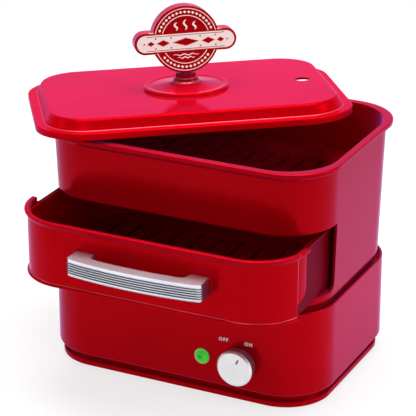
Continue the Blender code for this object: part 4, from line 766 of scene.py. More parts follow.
# Housing
# One red moulding stands in the base: a collar, the sill with the drawer's rails, two posts, the
# ledge for the bun rack and a flanged rim. The drawer's bay is open at the front and round its corners.
HOUSING_BOTTOM = 0.1172
HOUSING_LOW, HOUSING_HIGH = 0.0044, 0.0004
HOUSING_CORNER = 0.0580
HOUSING_WALL = 0.003
COLLAR_OUT, COLLAR_IN = 0.0085, 0.0113
RIM_TOP = 0.274
RIM_LOW = RIM_TOP - 0.0052
RIM_OUT = HOUSING_HIGH - 0.0045 - 0.0012
SILL_TOP = 0.1254
LEDGE_TOP = 0.2115
BAY_TOP = 0.2022
POST = FRONT + 0.0625
BAY_CORNER = 0.008
SEAT_GAP = 0.0003


def housing_inset(z):
    return HOUSING_LOW + (HOUSING_HIGH - HOUSING_LOW) * (z - HOUSING_BOTTOM) / (RIM_TOP - HOUSING_BOTTOM)


def housing_outline(inset):
    corner = HOUSING_CORNER - max(inset - HOUSING_LOW, 0.0)
    return outline(LENGTH / 2 - inset, DEPTH / 2 - inset, corner)


top_in, ledge_in, sill_in = (housing_inset(z) + HOUSING_WALL for z in (RIM_TOP, LEDGE_TOP, SILL_TOP))
cove_low = RIM_LOW - 0.0046
housing_profile = [(COLLAR_OUT, SHELF_TOP + SEAT_GAP), (COLLAR_OUT, HOUSING_BOTTOM)]
housing_profile += arc(HOUSING_LOW + 0.0013, HOUSING_BOTTOM + 0.0013, 0.0013, 270, 180, 5)
housing_profile += [(housing_inset(cove_low), cove_low)]
housing_profile += traced(HOUSING_HIGH, RIM_LOW, (-0.4, -3.0), (-1.4, -1.4), (-3.0, -0.2))
housing_profile += arc(RIM_OUT + 0.0012, RIM_LOW + 0.0012, 0.0012, 240, 180, 3)
housing_profile += arc(RIM_OUT + 0.0014, RIM_TOP - 0.0014, 0.0014, 180, 90, 5)
housing_profile += arc(top_in - 0.0008, RIM_TOP - 0.0008, 0.0008, 90, 0, 3)
housing_profile += traced(ledge_in, LEDGE_TOP, (0.0, 0.8), (0.8, 0.0), (10.0, 0.0), (10.0, -2.8), (0.0, -2.8))
housing_profile += traced(sill_in, SILL_TOP, (0.0, 0.8), (0.8, 0.0), (22.0, 0.0), (22.0, -2.8))
housing_profile += [(COLLAR_IN, SILL_TOP - 0.0028), (COLLAR_IN, SHELF_TOP + SEAT_GAP)]
housing = walls("housing_piece", housing_outline, housing_profile, joined=True)
bay_side = [(FRONT - 0.02, SILL_TOP), *arc(POST - BAY_CORNER, SILL_TOP + BAY_CORNER, BAY_CORNER, -90, 0, 10)]
bay_side += [(POST, BAY_TOP), (FRONT - 0.02, BAY_TOP)]
sideways = Matrix(((0, 0, 1, 0), (1, 0, 0, 0), (0, 1, 0, 0), (0, 0, 0, 1)))
carve(housing, prisms("bay", [bay_side], -LENGTH, LENGTH, sideways))
settle(housing)
housing_red = red_moulding("housing_red", 0.88, 0.16, 0.64, 0.58, 0.030)
dress(housing, "housing", housing_red, "red_shell", "housing_shell")


# Bun rack
# A loose red tray with a raised border lies on the housing's ledge; slots let the steam through.
RACK_LOW = LEDGE_TOP + SEAT_GAP
rack_red = red_moulding("rack_red", 0.9, 0.24)
rack_out = ledge_in + 0.0008
rack_profile = traced(rack_out, RACK_LOW, (0.6, 0.0), (0.0, 0.6), (0.0, 5.4))
rack_profile += arc(rack_out + 0.001, RACK_LOW + 0.005, 0.001, 180, 0, 6)
rack_profile += traced(rack_out, RACK_LOW, (2.0, 3.2), (3.0, 2.2))
rack = walls("bun_rack_piece", housing_outline, rack_profile)
rack_grid = (0.020, 0.056), (14, 3)
rack_slots = slots("steam_slots", rack_red, 0.0036, 0.042, *rack_grid, 0.0062, RACK_LOW - OVERRUN)
carve(rack, rack_slots)
settle(rack)
dress(rack, "housing", rack_red, "red_shell", "bun_rack")


# Drawer front
# The bent panel in front of the sausage drawer: a rolled lip along its top, a bead along its bottom,
# and recessed wings that follow the sides.
DRAWER_OPEN = 0.0724
DRAWER_TOP = 0.2014
DRAWER_CORNER = 0.0565
DRAWER_INSET = housing_inset((DRAWER_TOP + SILL_TOP) / 2) + 0.0012
DRAWER_LOW = SILL_TOP + 0.0020
PANEL_WALL = 0.0022
PANEL_END = 73.0
PANEL_STEPS, WING_STEPS = 24, 10
WING_DEPTH = 0.0011
WING_LIFT = 0.0168
WING_SLOPE = 0.0100
LIP_LOW = DRAWER_TOP - 0.0042
corner_x = LENGTH / 2 - DRAWER_INSET - DRAWER_CORNER
corner_y = FRONT + DRAWER_INSET + DRAWER_CORNER
lip = traced(0.0, LIP_LOW, (0.0, -3.4), (0.3, -2.2), (1.0, -0.9), (2.0, 0.2), (2.8, 0.9), (3.2, 1.7))
lip += traced(0.0, DRAWER_TOP, (3.2, -1.1), (2.9, -0.4), (2.2, 0.0))
lip += traced(-PANEL_WALL, DRAWER_TOP, (0.7, 0.0), (0.0, -0.7))
bead = [(-PANEL_WALL, DRAWER_LOW)] + traced(0.0, DRAWER_LOW, (1.4, 0.0), (2.0, 0.3), (2.2, 0.8))
bead += traced(0.0, DRAWER_LOW, (2.2, 1.8), (1.8, 2.4), (1.0, 2.8), (0.3, 3.3), (0.0, 4.1))
panel = bead + lip


def trimmed(section, cut):
    """The section with its face cut back; its inner side stays."""
    return [(d - cut if d >= 0 else d, z) for d, z in section]


stations = [(270 + PANEL_END * i / PANEL_STEPS, panel) for i in range(PANEL_STEPS)]
edge_turn = math.degrees(0.0007 / DRAWER_CORNER)
stations.append((270 + PANEL_END - edge_turn, panel))
stations.append((270 + PANEL_END - edge_turn * 0.3, trimmed(panel, 0.0002)))
stations.append((270 + PANEL_END, trimmed(bead, 0.0007) + lip))
start = PANEL_END + math.degrees(0.0006 / DRAWER_CORNER)
for i in range(WING_STEPS + 1):
    share = i / WING_STEPS
    edge = DRAWER_LOW + WING_LIFT + WING_SLOPE * share * share
    wing = [(-PANEL_WALL - WING_DEPTH, edge)]
    wing += [(-WING_DEPTH, edge + 0.0002 * k) for k in range(len(bead) - 1)]
    wing += [(-WING_DEPTH, LIP_LOW - 0.0034), (-0.0008, LIP_LOW - 0.0022), *lip[2:-2]]
    wing += [(-PANEL_WALL - 0.0004, DRAWER_TOP), (-PANEL_WALL - WING_DEPTH, DRAWER_TOP - 0.0007)]
    stations.append((270 + start + (90 - start) * share, wing))
rings = []
for angle, section in stations:
    c, s = math.cos(math.radians(angle)), math.sin(math.radians(angle))
    radii = ((DRAWER_CORNER + d, z) for d, z in section)
    rings.append([(corner_x + c * r, corner_y + s * r, z) for r, z in radii])
rings.insert(0, [(x - 0.002, y, z) for x, y, z in rings[0]])
rear = POST - 0.0012
tail = WING_SLOPE * 0.3
rings.append([(x, rear, z + tail if i < len(bead) else z) for i, (x, _, z) in enumerate(rings[-1])])
left = [[(-x, y, z) for x, y, z in ring] for ring in reversed(rings)]
drawer_front = skin("drawer_front_piece", left + rings)
drawer_place = Matrix.Translation((0, -DRAWER_OPEN, 0))
drawer_front.data.transform(drawer_place)
drawer_red = red_moulding("drawer_red", 1.0, 0.16, 0.36, 0.6, edge=0.45)


# Drawer tray
# Moulded behind the front from a duller red; its outer sides are painted dark as the shade in the bay.
# Its narrow rim slides between the posts, and its slotted floor lets the steam up and the fat down.
TRAY_TOP = DRAWER_TOP - 0.0046
TRAY_WALL = 0.0022
TRAY_LOW = SILL_TOP + SEAT_GAP
TRAY_FLOOR = TRAY_LOW + 0.0025
RIM_FLANGE = 0.0026
REAR_CORNER = 0.046
TRAY_SIDE_SHADE = (0.05, 0.0, 0.001)
side = corner_x + DRAWER_CORNER - 0.0072
inner_radius = DRAWER_CORNER - PANEL_WALL - SEAT_GAP
wing_inner = inner_radius - WING_DEPTH
meet = math.degrees(math.acos((side - corner_x) / inner_radius))
tray_back = -FRONT - sill_in - 0.0030
run = [(x, y, 0.0) for x, y in arc(corner_x, corner_y, inner_radius, 270, 360 - meet, 24)]
meet_y = run[-1][1]
for i in range(1, 8):
    y = meet_y + (corner_y - meet_y) * i / 8
    run.append((side, y, max(corner_x + math.sqrt(wing_inner ** 2 - (corner_y - y) ** 2) - side, 0.0)))
full = corner_x + wing_inner - side
run += [(side, corner_y, full), (side, rear - 0.0005, full), (side, rear + full / 2, RIM_FLANGE)]
rear_arc = arc(side - REAR_CORNER, tray_back - REAR_CORNER, REAR_CORNER, 0, 90, 24)
run += [(x, y, RIM_FLANGE) for x, y in rear_arc]
loop = run + [(-x, y, f) for x, y, f in reversed(run)]
plan = [(x, y) for x, y, _ in loop]
flange = [max(f, 0.00003) for _, _, f in loop]


def moved_out(points, distances):
    """Moves each point of a closed counter-clockwise outline outwards by its own distance."""
    made = []
    for i, point in enumerate(points):
        before = Vector(point) - Vector(points[i - 1])
        after = Vector(points[(i + 1) % len(points)]) - Vector(point)
        n0, n1 = (Vector((v.y, -v.x)).normalized() for v in (before, after))
        made.append(tuple(Vector(point) + (n0 + n1) / (1 + n0.dot(n1)) * distances[i]))
    return made


def tray_ring(z, share=0.0, inwards=0.0):
    return level(moved_out(plan, [f * share - inwards for f in flange]), z)


def shader_of(material):
    return material.node_tree.nodes["Principled BSDF"]


foot_stages = ((0.0, 0.0016), (0.0005, 0.0005), (0.0016, 0.0))
rim_stages = ((0.0030, 0.0), (0.0022, 0.04), (0.0022, 0.97), (0.0018, 1.0), (0.0004, 1.0), (0.0, 0.97))
inner_stages = [(TRAY_TOP, -0.0006), (TRAY_TOP - 0.0006, 0.0), (TRAY_FLOOR + 0.0020, 0.0)]
inner_stages += [(TRAY_FLOOR + 0.0006, 0.0006), (TRAY_FLOOR, 0.0020)]
tray_rings = [tray_ring(TRAY_LOW + up, inwards=inwards) for up, inwards in foot_stages]
tray_rings += [tray_ring(TRAY_TOP - down, share) for down, share in rim_stages]
tray_rings += [tray_ring(z, inwards=TRAY_WALL + more) for z, more in inner_stages]
tray_red = red_moulding("tray_red", 0.95, 0.45, 0.0)
tree = tray_red.node_tree
# The outer sides are painted dark: painted shade where the tray runs inside the housing's bay.
from_middle = maths(tree, "ABSOLUTE", own_axis(tree, "X"))
lay_over(shader_of(tray_red), scaled(tree, from_middle, side - 0.0012, side - 0.0006, 0.0, 0.72), TRAY_SIDE_SHADE)
drawer_tray = skin("drawer_tray_piece", tray_rings)
tray_middle = (tray_back + corner_y - inner_radius) / 2
drip_grid = (0.0256, 0.060), (11, 3)
drip_slots = slots("drip_slots", tray_red, 0.0036, 0.044, *drip_grid, 0.0068, TRAY_LOW - OVERRUN, tray_middle)
carve(drawer_tray, drip_slots)
settle(drawer_tray)
drawer_tray.data.transform(drawer_place)
dress(drawer_tray, "drawer", tray_red, "red_shell", "drawer_tray")


# Handle
# Silver-grey pull with five grooves along its bowed bar. Two screws from inside the drawer hold its
# feet, which stand in shallow raised frames on the panel.
HANDLE_LENGTH = 0.157
HANDLE_HEIGHT = 0.0192
HANDLE_MIDDLE = 0.1655
HANDLE_REACH = 0.0218
HANDLE_BOW = 0.0060
HANDLE_BAR = 0.0085
HANDLE_ARM = 0.0215
HANDLE_FILLET = 0.0065
HANDLE_CORNER = 0.0045
HANDLE_END_SHADE = (0.36, 0.16, 0.26)
GROOVES = 5
GROOVE_PITCH = 0.0027
GROOVE_DEPTH = 0.0011
FRAME_TOP = 0.0007
FRAME_SUNK = 0.0008
panel_face = FRONT + DRAWER_INSET - DRAWER_OPEN
half = HANDLE_LENGTH / 2
inner = half - HANDLE_ARM
bar_back = HANDLE_REACH - HANDLE_BAR
foot_x = half - HANDLE_ARM / 2


def bow(x):
    return HANDLE_BOW * (1 - (x / half) ** 2)


def bowed(start, depth, steps=24):
    """Points along the bow between a start and its mirror image, both left out."""
    places = (start * (1 - 2 * i / steps) for i in range(1, steps))
    return [(x, depth + bow(x)) for x in places]


def mirrored(points):
    return [(-x, y) for x, y in reversed(points)]


def foot_outline(grow, corner):
    """A foot's outline, a little larger."""
    return outline(HANDLE_ARM / 2 + grow, HANDLE_HEIGHT / 2 + grow, corner, 4, 0.0002)


fillet = arc(inner - HANDLE_FILLET, bar_back - HANDLE_FILLET, HANDLE_FILLET, 0, 90, 10)
corner = arc(-half + HANDLE_CORNER, HANDLE_REACH - HANDLE_CORNER, HANDLE_CORNER, 180, 90, 10)
back_line = bowed(inner - HANDLE_FILLET, bar_back - bow(inner))
behind = [(half, 0.0), (inner, 0.0), *fillet, *back_line, *mirrored(fillet), (-inner, 0.0), (-half, 0.0)]
before = [*corner, *bowed(HANDLE_CORNER - half, HANDLE_REACH), *mirrored(corner)]
handle_plan = [(x, -y) for x, y in behind + before]
low, high = HANDLE_MIDDLE - HANDLE_HEIGHT / 2, HANDLE_MIDDLE + HANDLE_HEIGHT / 2
levels = [(low, 0.0010, 0.0008), (low + 0.0003, 0.0003, 0.0003), (low + 0.0010, 0.0, 0.0)]
for i in reversed(range(GROOVES)):
    middle = high - 0.0052 - i * GROOVE_PITCH
    groove = ((-0.00070, 0.0), (-0.00045, GROOVE_DEPTH), (0.00045, GROOVE_DEPTH), (0.00070, 0.0))
    levels += [(middle + up, depth, 0.0) for up, depth in groove]
levels += [(high - 0.0010, 0.0, 0.0), (high - 0.0003, 0.0003, 0.0003), (high, 0.0010, 0.0008)]
seats = {0, 1, len(behind) - 2, len(behind) - 1}
handle_rings = []
for z, front_depth, back_depth in levels:
    depths = [0.0 if i in seats else back_depth for i in range(len(behind))] + [front_depth] * len(before)
    handle_rings.append([(x, y + panel_face - SEAT_GAP, z) for x, y in moved_out(handle_plan, depths)])
handle = settle(skin("handle_piece", handle_rings), 30.0)
handle_silver, tree, shader = silver_plastic("handle_silver", (0.90, 0.92, 1.0))
# The ends are painted darker and purplish: painted shade and a painted reflection of the red body.
from_middle = maths(tree, "ABSOLUTE", own_axis(tree, "X"))
lay_over(shader, scaled(tree, from_middle, half - 0.0007, half - 0.0003), HANDLE_END_SHADE)
dress(handle, "drawer", handle_silver, "silver_plastic", "handle")

outside, inside = foot_outline(0.0017, 0.0020), foot_outline(0.0003, 0.0006)
hoop = [(outside, -FRAME_SUNK), (outside, 0.0002), (foot_outline(0.0012, 0.0015), FRAME_TOP)]
hoop += [(inside, FRAME_TOP), (inside, -FRAME_SUNK)]
for side_name, x in (("left", -foot_x), ("right", foot_x)):
    frame_place = facing(x, HANDLE_MIDDLE, panel_face)
    frame_rings = [placed(frame_place, points, z) for points, z in hoop]
    carve(drawer_front, skin(f"foot_frame_{side_name}", frame_rings, joined=True), "UNION")
settle(drawer_front)
dress(drawer_front, "drawer", drawer_red, "red_shell", "drawer_front")


# Lid
# Red moulded lid: a skirt that drops over the rim, a flat ledge, a coved shoulder and a polished raised
# panel, thinned from below round its steam hole. It lies turned and leaning on the rim.
LID_HALF = (LENGTH / 2 + 0.0083, DEPTH / 2 + 0.0083)
LID_CORNER = 0.0610
LID_SKIRT = 0.0074
LID_LEDGE = 0.0104
LID_SHOULDER = 0.0044
LID_RISE = 0.0121
LID_WALL = 0.0036
LID_SKIRT_WALL = 0.0025
STEAM_HOLE = 0.1333
SCREW_BORE = 0.0027
LID_NORMAL = Vector((-0.06935, 0.06285, 0.99561)).normalized()
LID_CENTRE = Vector((-0.0635, 0.0423, 0.27651))
lid_turn = math.radians(34.2)
along = Vector((math.cos(lid_turn), math.sin(lid_turn), 0.0))
along = (along - LID_NORMAL * along.dot(LID_NORMAL)).normalized()
lid_place = Matrix((along, LID_NORMAL.cross(along), LID_NORMAL)).transposed().to_4x4()
lid_place.translation = LID_CENTRE


def lid_outline(inset):
    return outline(LID_HALF[0] - inset, LID_HALF[1] - inset, LID_CORNER - inset, 28)


def lid_share(tree, start, end, last):
    """A share that grows from 0 between two heights over the leaning lid's own plane."""
    place, plane = own_place(tree), LID_NORMAL.dot(LID_CENTRE)
    above = node(tree, "ShaderNodeVectorMath", {"operation": "DOT_PRODUCT"}, i0=place, i1=tuple(LID_NORMAL))
    return scaled(tree, above.outputs["Value"], plane + start, plane + end, 0.0, last)


shoulder = LID_LEDGE + LID_SHOULDER
over = arc(0.0006, -LID_SKIRT + 0.0006, 0.0006, 270, 180, 3) + arc(0.0014, -0.0014, 0.0014, 180, 90, 6)
over += traced(LID_LEDGE, 0.0, (-1.2, 0.0), (-0.4, 0.3), (0.3, 1.2))
over += traced(shoulder, LID_RISE, (-0.8, -5.2), (-0.2, -3.6), (0.6, -2.1), (1.6, -1.0))
over += traced(shoulder, LID_RISE, (2.8, -0.3), (4.2, 0.0))
under = [(LID_SKIRT_WALL, -LID_SKIRT), (LID_SKIRT_WALL, -LID_WALL), (LID_LEDGE + LID_WALL, -LID_WALL)]
under += traced(shoulder + LID_WALL, LID_RISE - LID_WALL, (0.0, -3.0), (3.2, 0.0))
lid = walls("lid_piece", lid_outline, over[::-1] + under)
below_panel = LID_RISE - LID_WALL - OVERRUN
lid_holes = [circle(STEAM_HOLE, 0.0, 0.0082, 48), circle(0.0, 0.0, SCREW_BORE, 24)]
carve(lid, prisms("lid_holes", lid_holes, below_panel, LID_RISE + OVERRUN))
carve(lid, prisms("hole_relief", [circle(STEAM_HOLE, 0.0, 0.0125, 48)], below_panel, LID_RISE - 0.0014))
settle(lid)
lid.data.transform(lid_place)
# The lid's red is painted a little lighter than the body's: painted light, as if shining through its thin
# wall.
lid_red = red_moulding("lid_red", 1.08, 0.09, 0.07, 0.0, 0.008)
tree, shader = lid_red.node_tree, shader_of(lid_red)
polish = shader.inputs["Roughness"].links[0].from_socket
dull = lid_share(tree, LID_RISE - 0.0001, LID_RISE - 0.0016, 0.20)
feed(shader, Roughness=maths(tree, "ADD", polish, dull))
dress(lid, "lid", lid_red, "red_shell", "lid_shell")


# Saucer and neck of the finial
# A round red saucer with a rolled edge and a stepped neck, held on the lid by a screw from below.
SAUCER_RADIUS = 0.0479
NECK_RADIUS = 0.0113
NECK_SHADE = (0.14, 0.0, 0.003)
saucer_low = LID_RISE + SEAT_GAP
saucer_top = saucer_low + 0.0036
neck_foot = saucer_top + 0.0020
neck_top = LID_RISE + 0.0172
saucer_profile = [(SCREW_BORE, saucer_low), (SAUCER_RADIUS - 0.0010, saucer_low)]
saucer_profile += arc(SAUCER_RADIUS - 0.0018, saucer_low + 0.0018, 0.0018, -60, 80, 8)
saucer_profile += traced(SAUCER_RADIUS, saucer_top, (-4.0, -0.2), (-6.0, -0.8), (-9.0, -0.9))
saucer_profile += traced(0.0, saucer_top, (30.0, 0.3), (21.5, 1.6), (16.5, 3.0), (14.5, 4.2), (13.8, 5.6))
saucer_profile += traced(0.0, saucer_low, (13.7, 10.0), (13.3, 10.8), (12.5, 11.0), (11.7, 11.2))
saucer_profile += [(NECK_RADIUS, saucer_low + 0.0118), (NECK_RADIUS, neck_top), (SCREW_BORE, neck_top)]
saucer = settle(turned("lid_knob_piece", saucer_profile, steps=112, joined=True))
saucer.data.transform(lid_place)
# The saucer's red is painted much lighter: painted light against the shadow of the sign plate.
saucer_red = red_moulding("saucer_red", 1.30, 0.10, 0.24, 0.4, 0.020)
# The neck is painted darker towards its top: painted shade under the sign plate.
neck_shade_share = lid_share(saucer_red.node_tree, neck_foot, neck_foot + 0.0030, 0.75)
lay_over(shader_of(saucer_red), neck_shade_share, NECK_SHADE)
dress(saucer, "lid", saucer_red, "red_shell", "lid_knob")


# Sign plate
# A thick red plate stands on the neck: a disc with a round-ended bar across its middle. A raised
# border goes round its face, and the field inside is a little sunk.
SIGN_RADIUS = 0.0382
SIGN_HALF = 0.0090
LOBE_RADIUS = 0.0124
LOBE_REACH = 0.0580
LOBE_DROP = 0.0026
sign_plane = Matrix.Rotation(math.radians(3.0), 4, "Z") @ Matrix.Translation((0, 0, LID_RISE + 0.0568))
sign_plane = sign_plane @ Matrix.Rotation(math.radians(90), 4, "X")
tip = LOBE_REACH - LOBE_RADIUS


def sign_outline(grow):
    """Disc and bar in one outline, grown by a distance."""
    r, lobe = SIGN_RADIUS + grow, LOBE_RADIUS + grow
    meet_top = math.degrees(math.asin((lobe - LOBE_DROP) / r))
    meet_low = math.degrees(math.asin((-lobe - LOBE_DROP) / r))
    points = arc(tip, -LOBE_DROP, lobe, -90, 90, 24) + arc(0, 0, r, meet_top, 180 - meet_top, 48)
    points += arc(-tip, -LOBE_DROP, lobe, 90, 270, 24)
    return points + arc(0, 0, r, 180 - meet_low, 360 + meet_low, 48)


plate_stages = traced(0.0, -SIGN_HALF, (-1.4, 0.0), (-0.5, 0.3), (-0.1, 0.8), (0.0, 1.4))
plate_stages += traced(0.0, SIGN_HALF, (0.0, -1.4), (-0.1, -0.8), (-0.5, -0.3), (-1.2, 0.0), (-2.6, 0.0))
plate_stages += traced(0.0, SIGN_HALF, (-2.9, -0.6))
sign = skin("sign_plate_piece", [placed(sign_plane, sign_outline(grow), z) for grow, z in plate_stages])
carve(sign, prisms("neck_seat", [outline(0.04, 0.04, 0.001, 2)], LID_RISE - 0.04, neck_top + SEAT_GAP))
settle(sign)
sign.data.transform(lid_place)
dress(sign, "lid", red_moulding("sign_red", 0.82, 0.14, 0.48, 0.8, 0.024), "red_shell", "sign_plate")


# Sign face
# Cream inlays lie in the sunk field: two thin rings broken by the bar, a beaded row between them,
# three wisps of steam above the bar, small waves below it and a banner of red lozenges along it.
INLAY_LOW = SIGN_HALF - 0.0009
INLAY_TOP = SIGN_HALF + 0.0001
RING_OUT = 0.0352
RING_IN = 0.0272
RING_GAP = 0.0014
LINE = 0.0007
BANNER_HALF = 0.0096
WISP_FOOT = 0.0108
sign_place = lid_place @ sign_plane


def strip(path, width, tapered=True):
    """Outline of a line of one width along a path; its ends may narrow."""
    sides = [[], []]
    for i, (x, y) in enumerate(path):
        before, after = path[max(i - 1, 0)], path[min(i + 1, len(path) - 1)]
        run = Vector((after[0] - before[0], after[1] - before[1])).normalized()
        thick = 0.25 + 0.75 * math.sin(math.pi * i / (len(path) - 1)) if tapered else 1.0
        half = width / 2 * thick
        sides[0].append((x - run.y * half, y + run.x * half))
        sides[1].append((x + run.y * half, y - run.x * half))
    return sides[1] + sides[0][::-1]


def beads_tree():
    """Geometry Nodes: lozenges in a row on an arc, their long way along it."""
    sizes = ("Radius", "Start Angle", "Sweep Angle", "Length", "Width", "Low", "Thickness")
    tree, given = growing_tree("beads_on_arc", Geometry=("Geometry",), Float=sizes, Int=("Count",))
    row = node(
        tree, "GeometryNodeCurveArc", Resolution=64, Radius=given["Radius"], Start_Angle=given["Start Angle"],
        Sweep_Angle=given["Sweep Angle"],
    )
    points = node(tree, "GeometryNodeCurveToPoints", Curve=row, Count=given["Count"])
    bead = node(tree, "GeometryNodeMeshCylinder", Vertices=4, Radius=0.5, Depth=given["Thickness"])
    shape = node(tree, "ShaderNodeCombineXYZ", X=given["Length"], Y=given["Width"], Z=1.0)
    turn = node(tree, "FunctionNodeAlignRotationToVector", {"axis": "X"}, Vector=points.outputs["Tangent"])
    copies = node(
        tree, "GeometryNodeInstanceOnPoints", Points=points.outputs["Points"], Instance=bead, Rotation=turn,
        Scale=shape,
    )
    lift = maths(tree, "MULTIPLY_ADD", given["Thickness"], 0.5, given["Low"])
    return ended(tree, copies, given["Material"], Z=lift)


def merged(name, pieces):
    """One mesh of several; the single ones are dropped."""
    bm = bmesh.new()
    for piece in pieces:
        bm.from_mesh(piece.data)
        bpy.data.objects.remove(piece)
    return made_mesh(name, bm)


def wavy(start, end, height, waves, steps):
    """A wave along a straight line between two points, and to its left by its height."""
    start, way = Vector(start), Vector(end) - Vector(start)
    across = Vector((-way.y, way.x)).normalized() * height
    shares = (i / steps for i in range(steps + 1))
    return [tuple(start + way * t + across * math.sin(math.tau * waves * t)) for t in shares]


# The cream gives off a faint glow of its own: painted light that makes the inlays look brighter.
cream = speckled(
    "cream_inlay", 260.0, 3.0, (0.86, 0.86, 0.80), (0.94, 0.94, 0.88), Coat_Weight=0.25, Coat_Roughness=0.1,
    Emission_Color=(1.0, 0.98, 0.90, 1.0), Emission_Strength=0.13,
)
tree = cream.node_tree
feed(shader_of(cream), Roughness=scaled(tree, texture(tree, 900.0), 0.3, 0.7, 0.26, 0.40))

art = []
for radius in (RING_OUT, RING_IN):
    for way in (1, -1):
        start = math.degrees(math.asin((BANNER_HALF - way * LOBE_DROP + RING_GAP) / radius))
        half_ring = [(x, way * y) for x, y in arc(0, 0, radius, start, 180 - start, 64)]
        art.append(strip(half_ring, LINE, tapered=False))
for x, tall in ((-0.0105, 0.0090), (0.0, 0.0118), (0.0105, 0.0090)):
    art.append(strip(wavy((x, WISP_FOOT), (x, WISP_FOOT + tall), -0.0015, 1.1, 20), 0.0022))
for y, reach in ((-0.0172, 0.0145), (-0.0205, 0.0095)):
    art.append(strip(wavy((-reach, y), (reach, y), 0.0007, 3, 36), 0.0011))
beads = beads_tree()
rows = [prisms("sign_ring_art", art, INLAY_LOW, INLAY_TOP)]
for name, start, sweep, count in (("upper_beads", 22.0, 136.0, 17), ("lower_beads", -38.0, -104.0, 13)):
    rows.append(grown(
        name, beads, Radius=(RING_OUT + RING_IN) / 2, Start_Angle=math.radians(start),
        Sweep_Angle=math.radians(sweep), Count=count, Length=0.0036, Width=0.0030, Low=INLAY_LOW,
        Thickness=INLAY_TOP - INLAY_LOW, Material=cream,
    ))
ring_piece = merged("sign_ring_piece", rows)
ring_piece.data.transform(sign_place)
dress(ring_piece, "lid", cream, "cream_print", "sign_ring")

banner_outline = arc(tip, -LOBE_DROP, BANNER_HALF, -90, 90, 20)
banner_outline += arc(-tip, -LOBE_DROP, BANNER_HALF, 90, 270, 20)
banner = prisms("sign_banner_piece", [banner_outline], INLAY_LOW, INLAY_TOP)
banner.data.transform(sign_place)
dress(banner, "lid", cream, "cream_print", "sign_banner")

side_lozenges = ((0.0255, 0.0150, 0.0072), (0.0395, 0.0085, 0.0056))
lozenges = [(0.0, 0.0300, 0.0088)] + [(way * x, *size) for x, *size in side_lozenges for way in (1, -1)]
dots = [(0.0165, 0.0056), (0.0165, -0.0056), (0.0340, 0.0056), (0.0340, -0.0056), (0.0470, 0.0)]
motifs = []
for x, length, width in lozenges:
    corners = ((x - length / 2, 0.0), (x, -width / 2), (x + length / 2, 0.0), (x, width / 2))
    motifs.append([(cx, up - LOBE_DROP) for cx, up in corners])
motifs += [circle(way * x, up - LOBE_DROP, 0.0009, 16) for x, up in dots for way in (1, -1)]
for up in (0.0080, -0.0080):
    edge = [(-0.044 + 0.088 * i / 20, up - LOBE_DROP) for i in range(21)]
    motifs.append(strip(edge, 0.0006, tapered=False))
motif_piece = prisms("banner_motifs", motifs, INLAY_LOW, INLAY_TOP + 0.0002)
motif_piece.data.transform(sign_place)
dress(motif_piece, "lid", red_moulding("motif_red", 0.8, 0.2), "red_shell")


# Lid screw and washer
# One screw through the lid's middle pulls the neck down; its washer spreads the load underneath.
LID_SCREW = (0.0050, 0.0030, 0.0021, 0.0390)
WASHER = 0.0010
under_lid = Matrix.Translation((0, 0, LID_RISE - LID_WALL - WASHER - SEAT_GAP - LID_SCREW[1]))
lid_screw = screw("lid_screw_piece", *LID_SCREW, lid_place @ under_lid)
dress(lid_screw, "lid", zinc, "steel", "lid_screw")


# Handle screws
# Two screws through the drawer's wall hold the handle's feet; their heads show inside.
for side_name, x in (("left", -foot_x), ("right", foot_x)):
    low_corner, high_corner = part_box(f"handle_screw_{side_name}")
    place = facing(x, HANDLE_MIDDLE, high_corner[1])
    made = screw(f"handle_screw_{side_name}_piece", *SMALL_SCREW, high_corner[1] - low_corner[1], place)
    dress(made, "drawer", zinc, "steel", f"handle_screw_{side_name}")


# Water tray and heater
# A pressed aluminium dish holds the water over a bent heating rod, whose sheath is tinted by heat.
def finish(material, *names):
    """Gives carried-over parts their finish."""
    for name in names:
        for slot in bpy.data.objects[name].material_slots:
            slot.material = material


finish(plated("pressed_aluminium", (0.70, 0.70, 0.71), 0.26), "water_tray")
straw, bronze, purple, blue = (0.42, 0.40, 0.40), (0.45, 0.33, 0.20), (0.28, 0.20, 0.28), (0.22, 0.25, 0.36)
tinted, tree, shader = principled("heat_tinted_sheath", Metallic=1.0, Roughness=0.42)
tint = ramp(tree, texture(tree, 45.0, 3.0), (0.25, straw), (0.45, bronze), (0.60, purple), (0.75, blue))
feed(shader, Base_Color=tint)
finish(tinted, "heating_element")


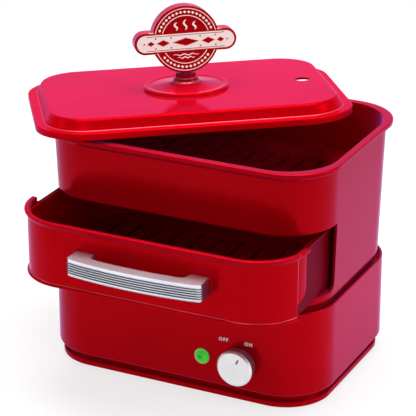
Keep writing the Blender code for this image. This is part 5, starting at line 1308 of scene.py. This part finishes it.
# Thermostat, switch and lamp holder
# Black phenolic mouldings with a dull, faintly speckled surface, and their metal fittings.
def moulded(name, dark, light, rough=0.5):
    """Matt moulding with a fine speckle and a light texture."""
    return speckled(name, 1200.0, 3.0, dark, light, (0.15, 0.00006), (0.35, 0.68), Roughness=rough)


phenolic = moulded("black_phenolic", (0.012, 0.012, 0.013), (0.030, 0.030, 0.032))
finish(phenolic, "thermostat", "power_switch", "lamp_holder")
finish(plated("turned_brass", (0.74, 0.53, 0.22), 0.24), "switch_nut")
finish(zinc, "switch_shaft", "lamp_clip", "lid_washer")
glass = speckled(
    "bulb_glass", 900.0, 2.0, (0.72, 0.62, 0.52), (0.90, 0.84, 0.74), Roughness=0.08, Transmission_Weight=0.6,
    Coat_Weight=0.3,
)
finish(glass, "neon_bulb")


# Terminal block and wires
# A white nylon block joins the leads, which run in woven silicone sleeves.
finish(moulded("white_nylon", (0.66, 0.66, 0.62), (0.80, 0.80, 0.77), 0.42), "terminal_block")
sleeve, tree, shader = principled("silicone_sleeve", Roughness=0.65)
wave = node(tree, "ShaderNodeTexWave", Vector=own_place(tree), Scale=420.0, Distortion=1.5, Detail=1.0)
weave = wave.outputs["Fac"]
sleeve_tone = ramp(tree, weave, (0.2, (0.60, 0.57, 0.48)), (0.8, (0.84, 0.82, 0.74)))
feed(shader, Base_Color=sleeve_tone, Normal=bump(tree, weave, 0.25, 0.00015))
finish(sleeve, "wire_supply", "wire_feed", "wire_heater", "wire_return", "wire_lamp")


# Cord gland
# A black nylon bushing in the back wall guards the mains lead's way in.
gland_place = Matrix.Translation((GLAND[0], -FRONT, GLAND[1])) @ Matrix.Rotation(math.radians(-90), 4, "X")
gland_profile = traced(0.0, 0.0, (7.0, -13.3), (7.0, 0.0), (9.8, 0.3), (10.5, 0.8), (10.5, 1.4), (9.0, 2.2))
gland_profile += traced(0.0, 0.0, (6.4, 2.5), (4.6, 2.5), (4.0, 1.9), (4.0, -13.3))
gland = settle(turned("cord_gland_piece", gland_profile, gland_place, 64, joined=True))
black_nylon = moulded("black_nylon", (0.014, 0.014, 0.015), (0.034, 0.034, 0.036), 0.4)
dress(gland, "base", black_nylon, "black_plastic", "cord_gland")

bpy.context.view_layer.update()
low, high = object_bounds()
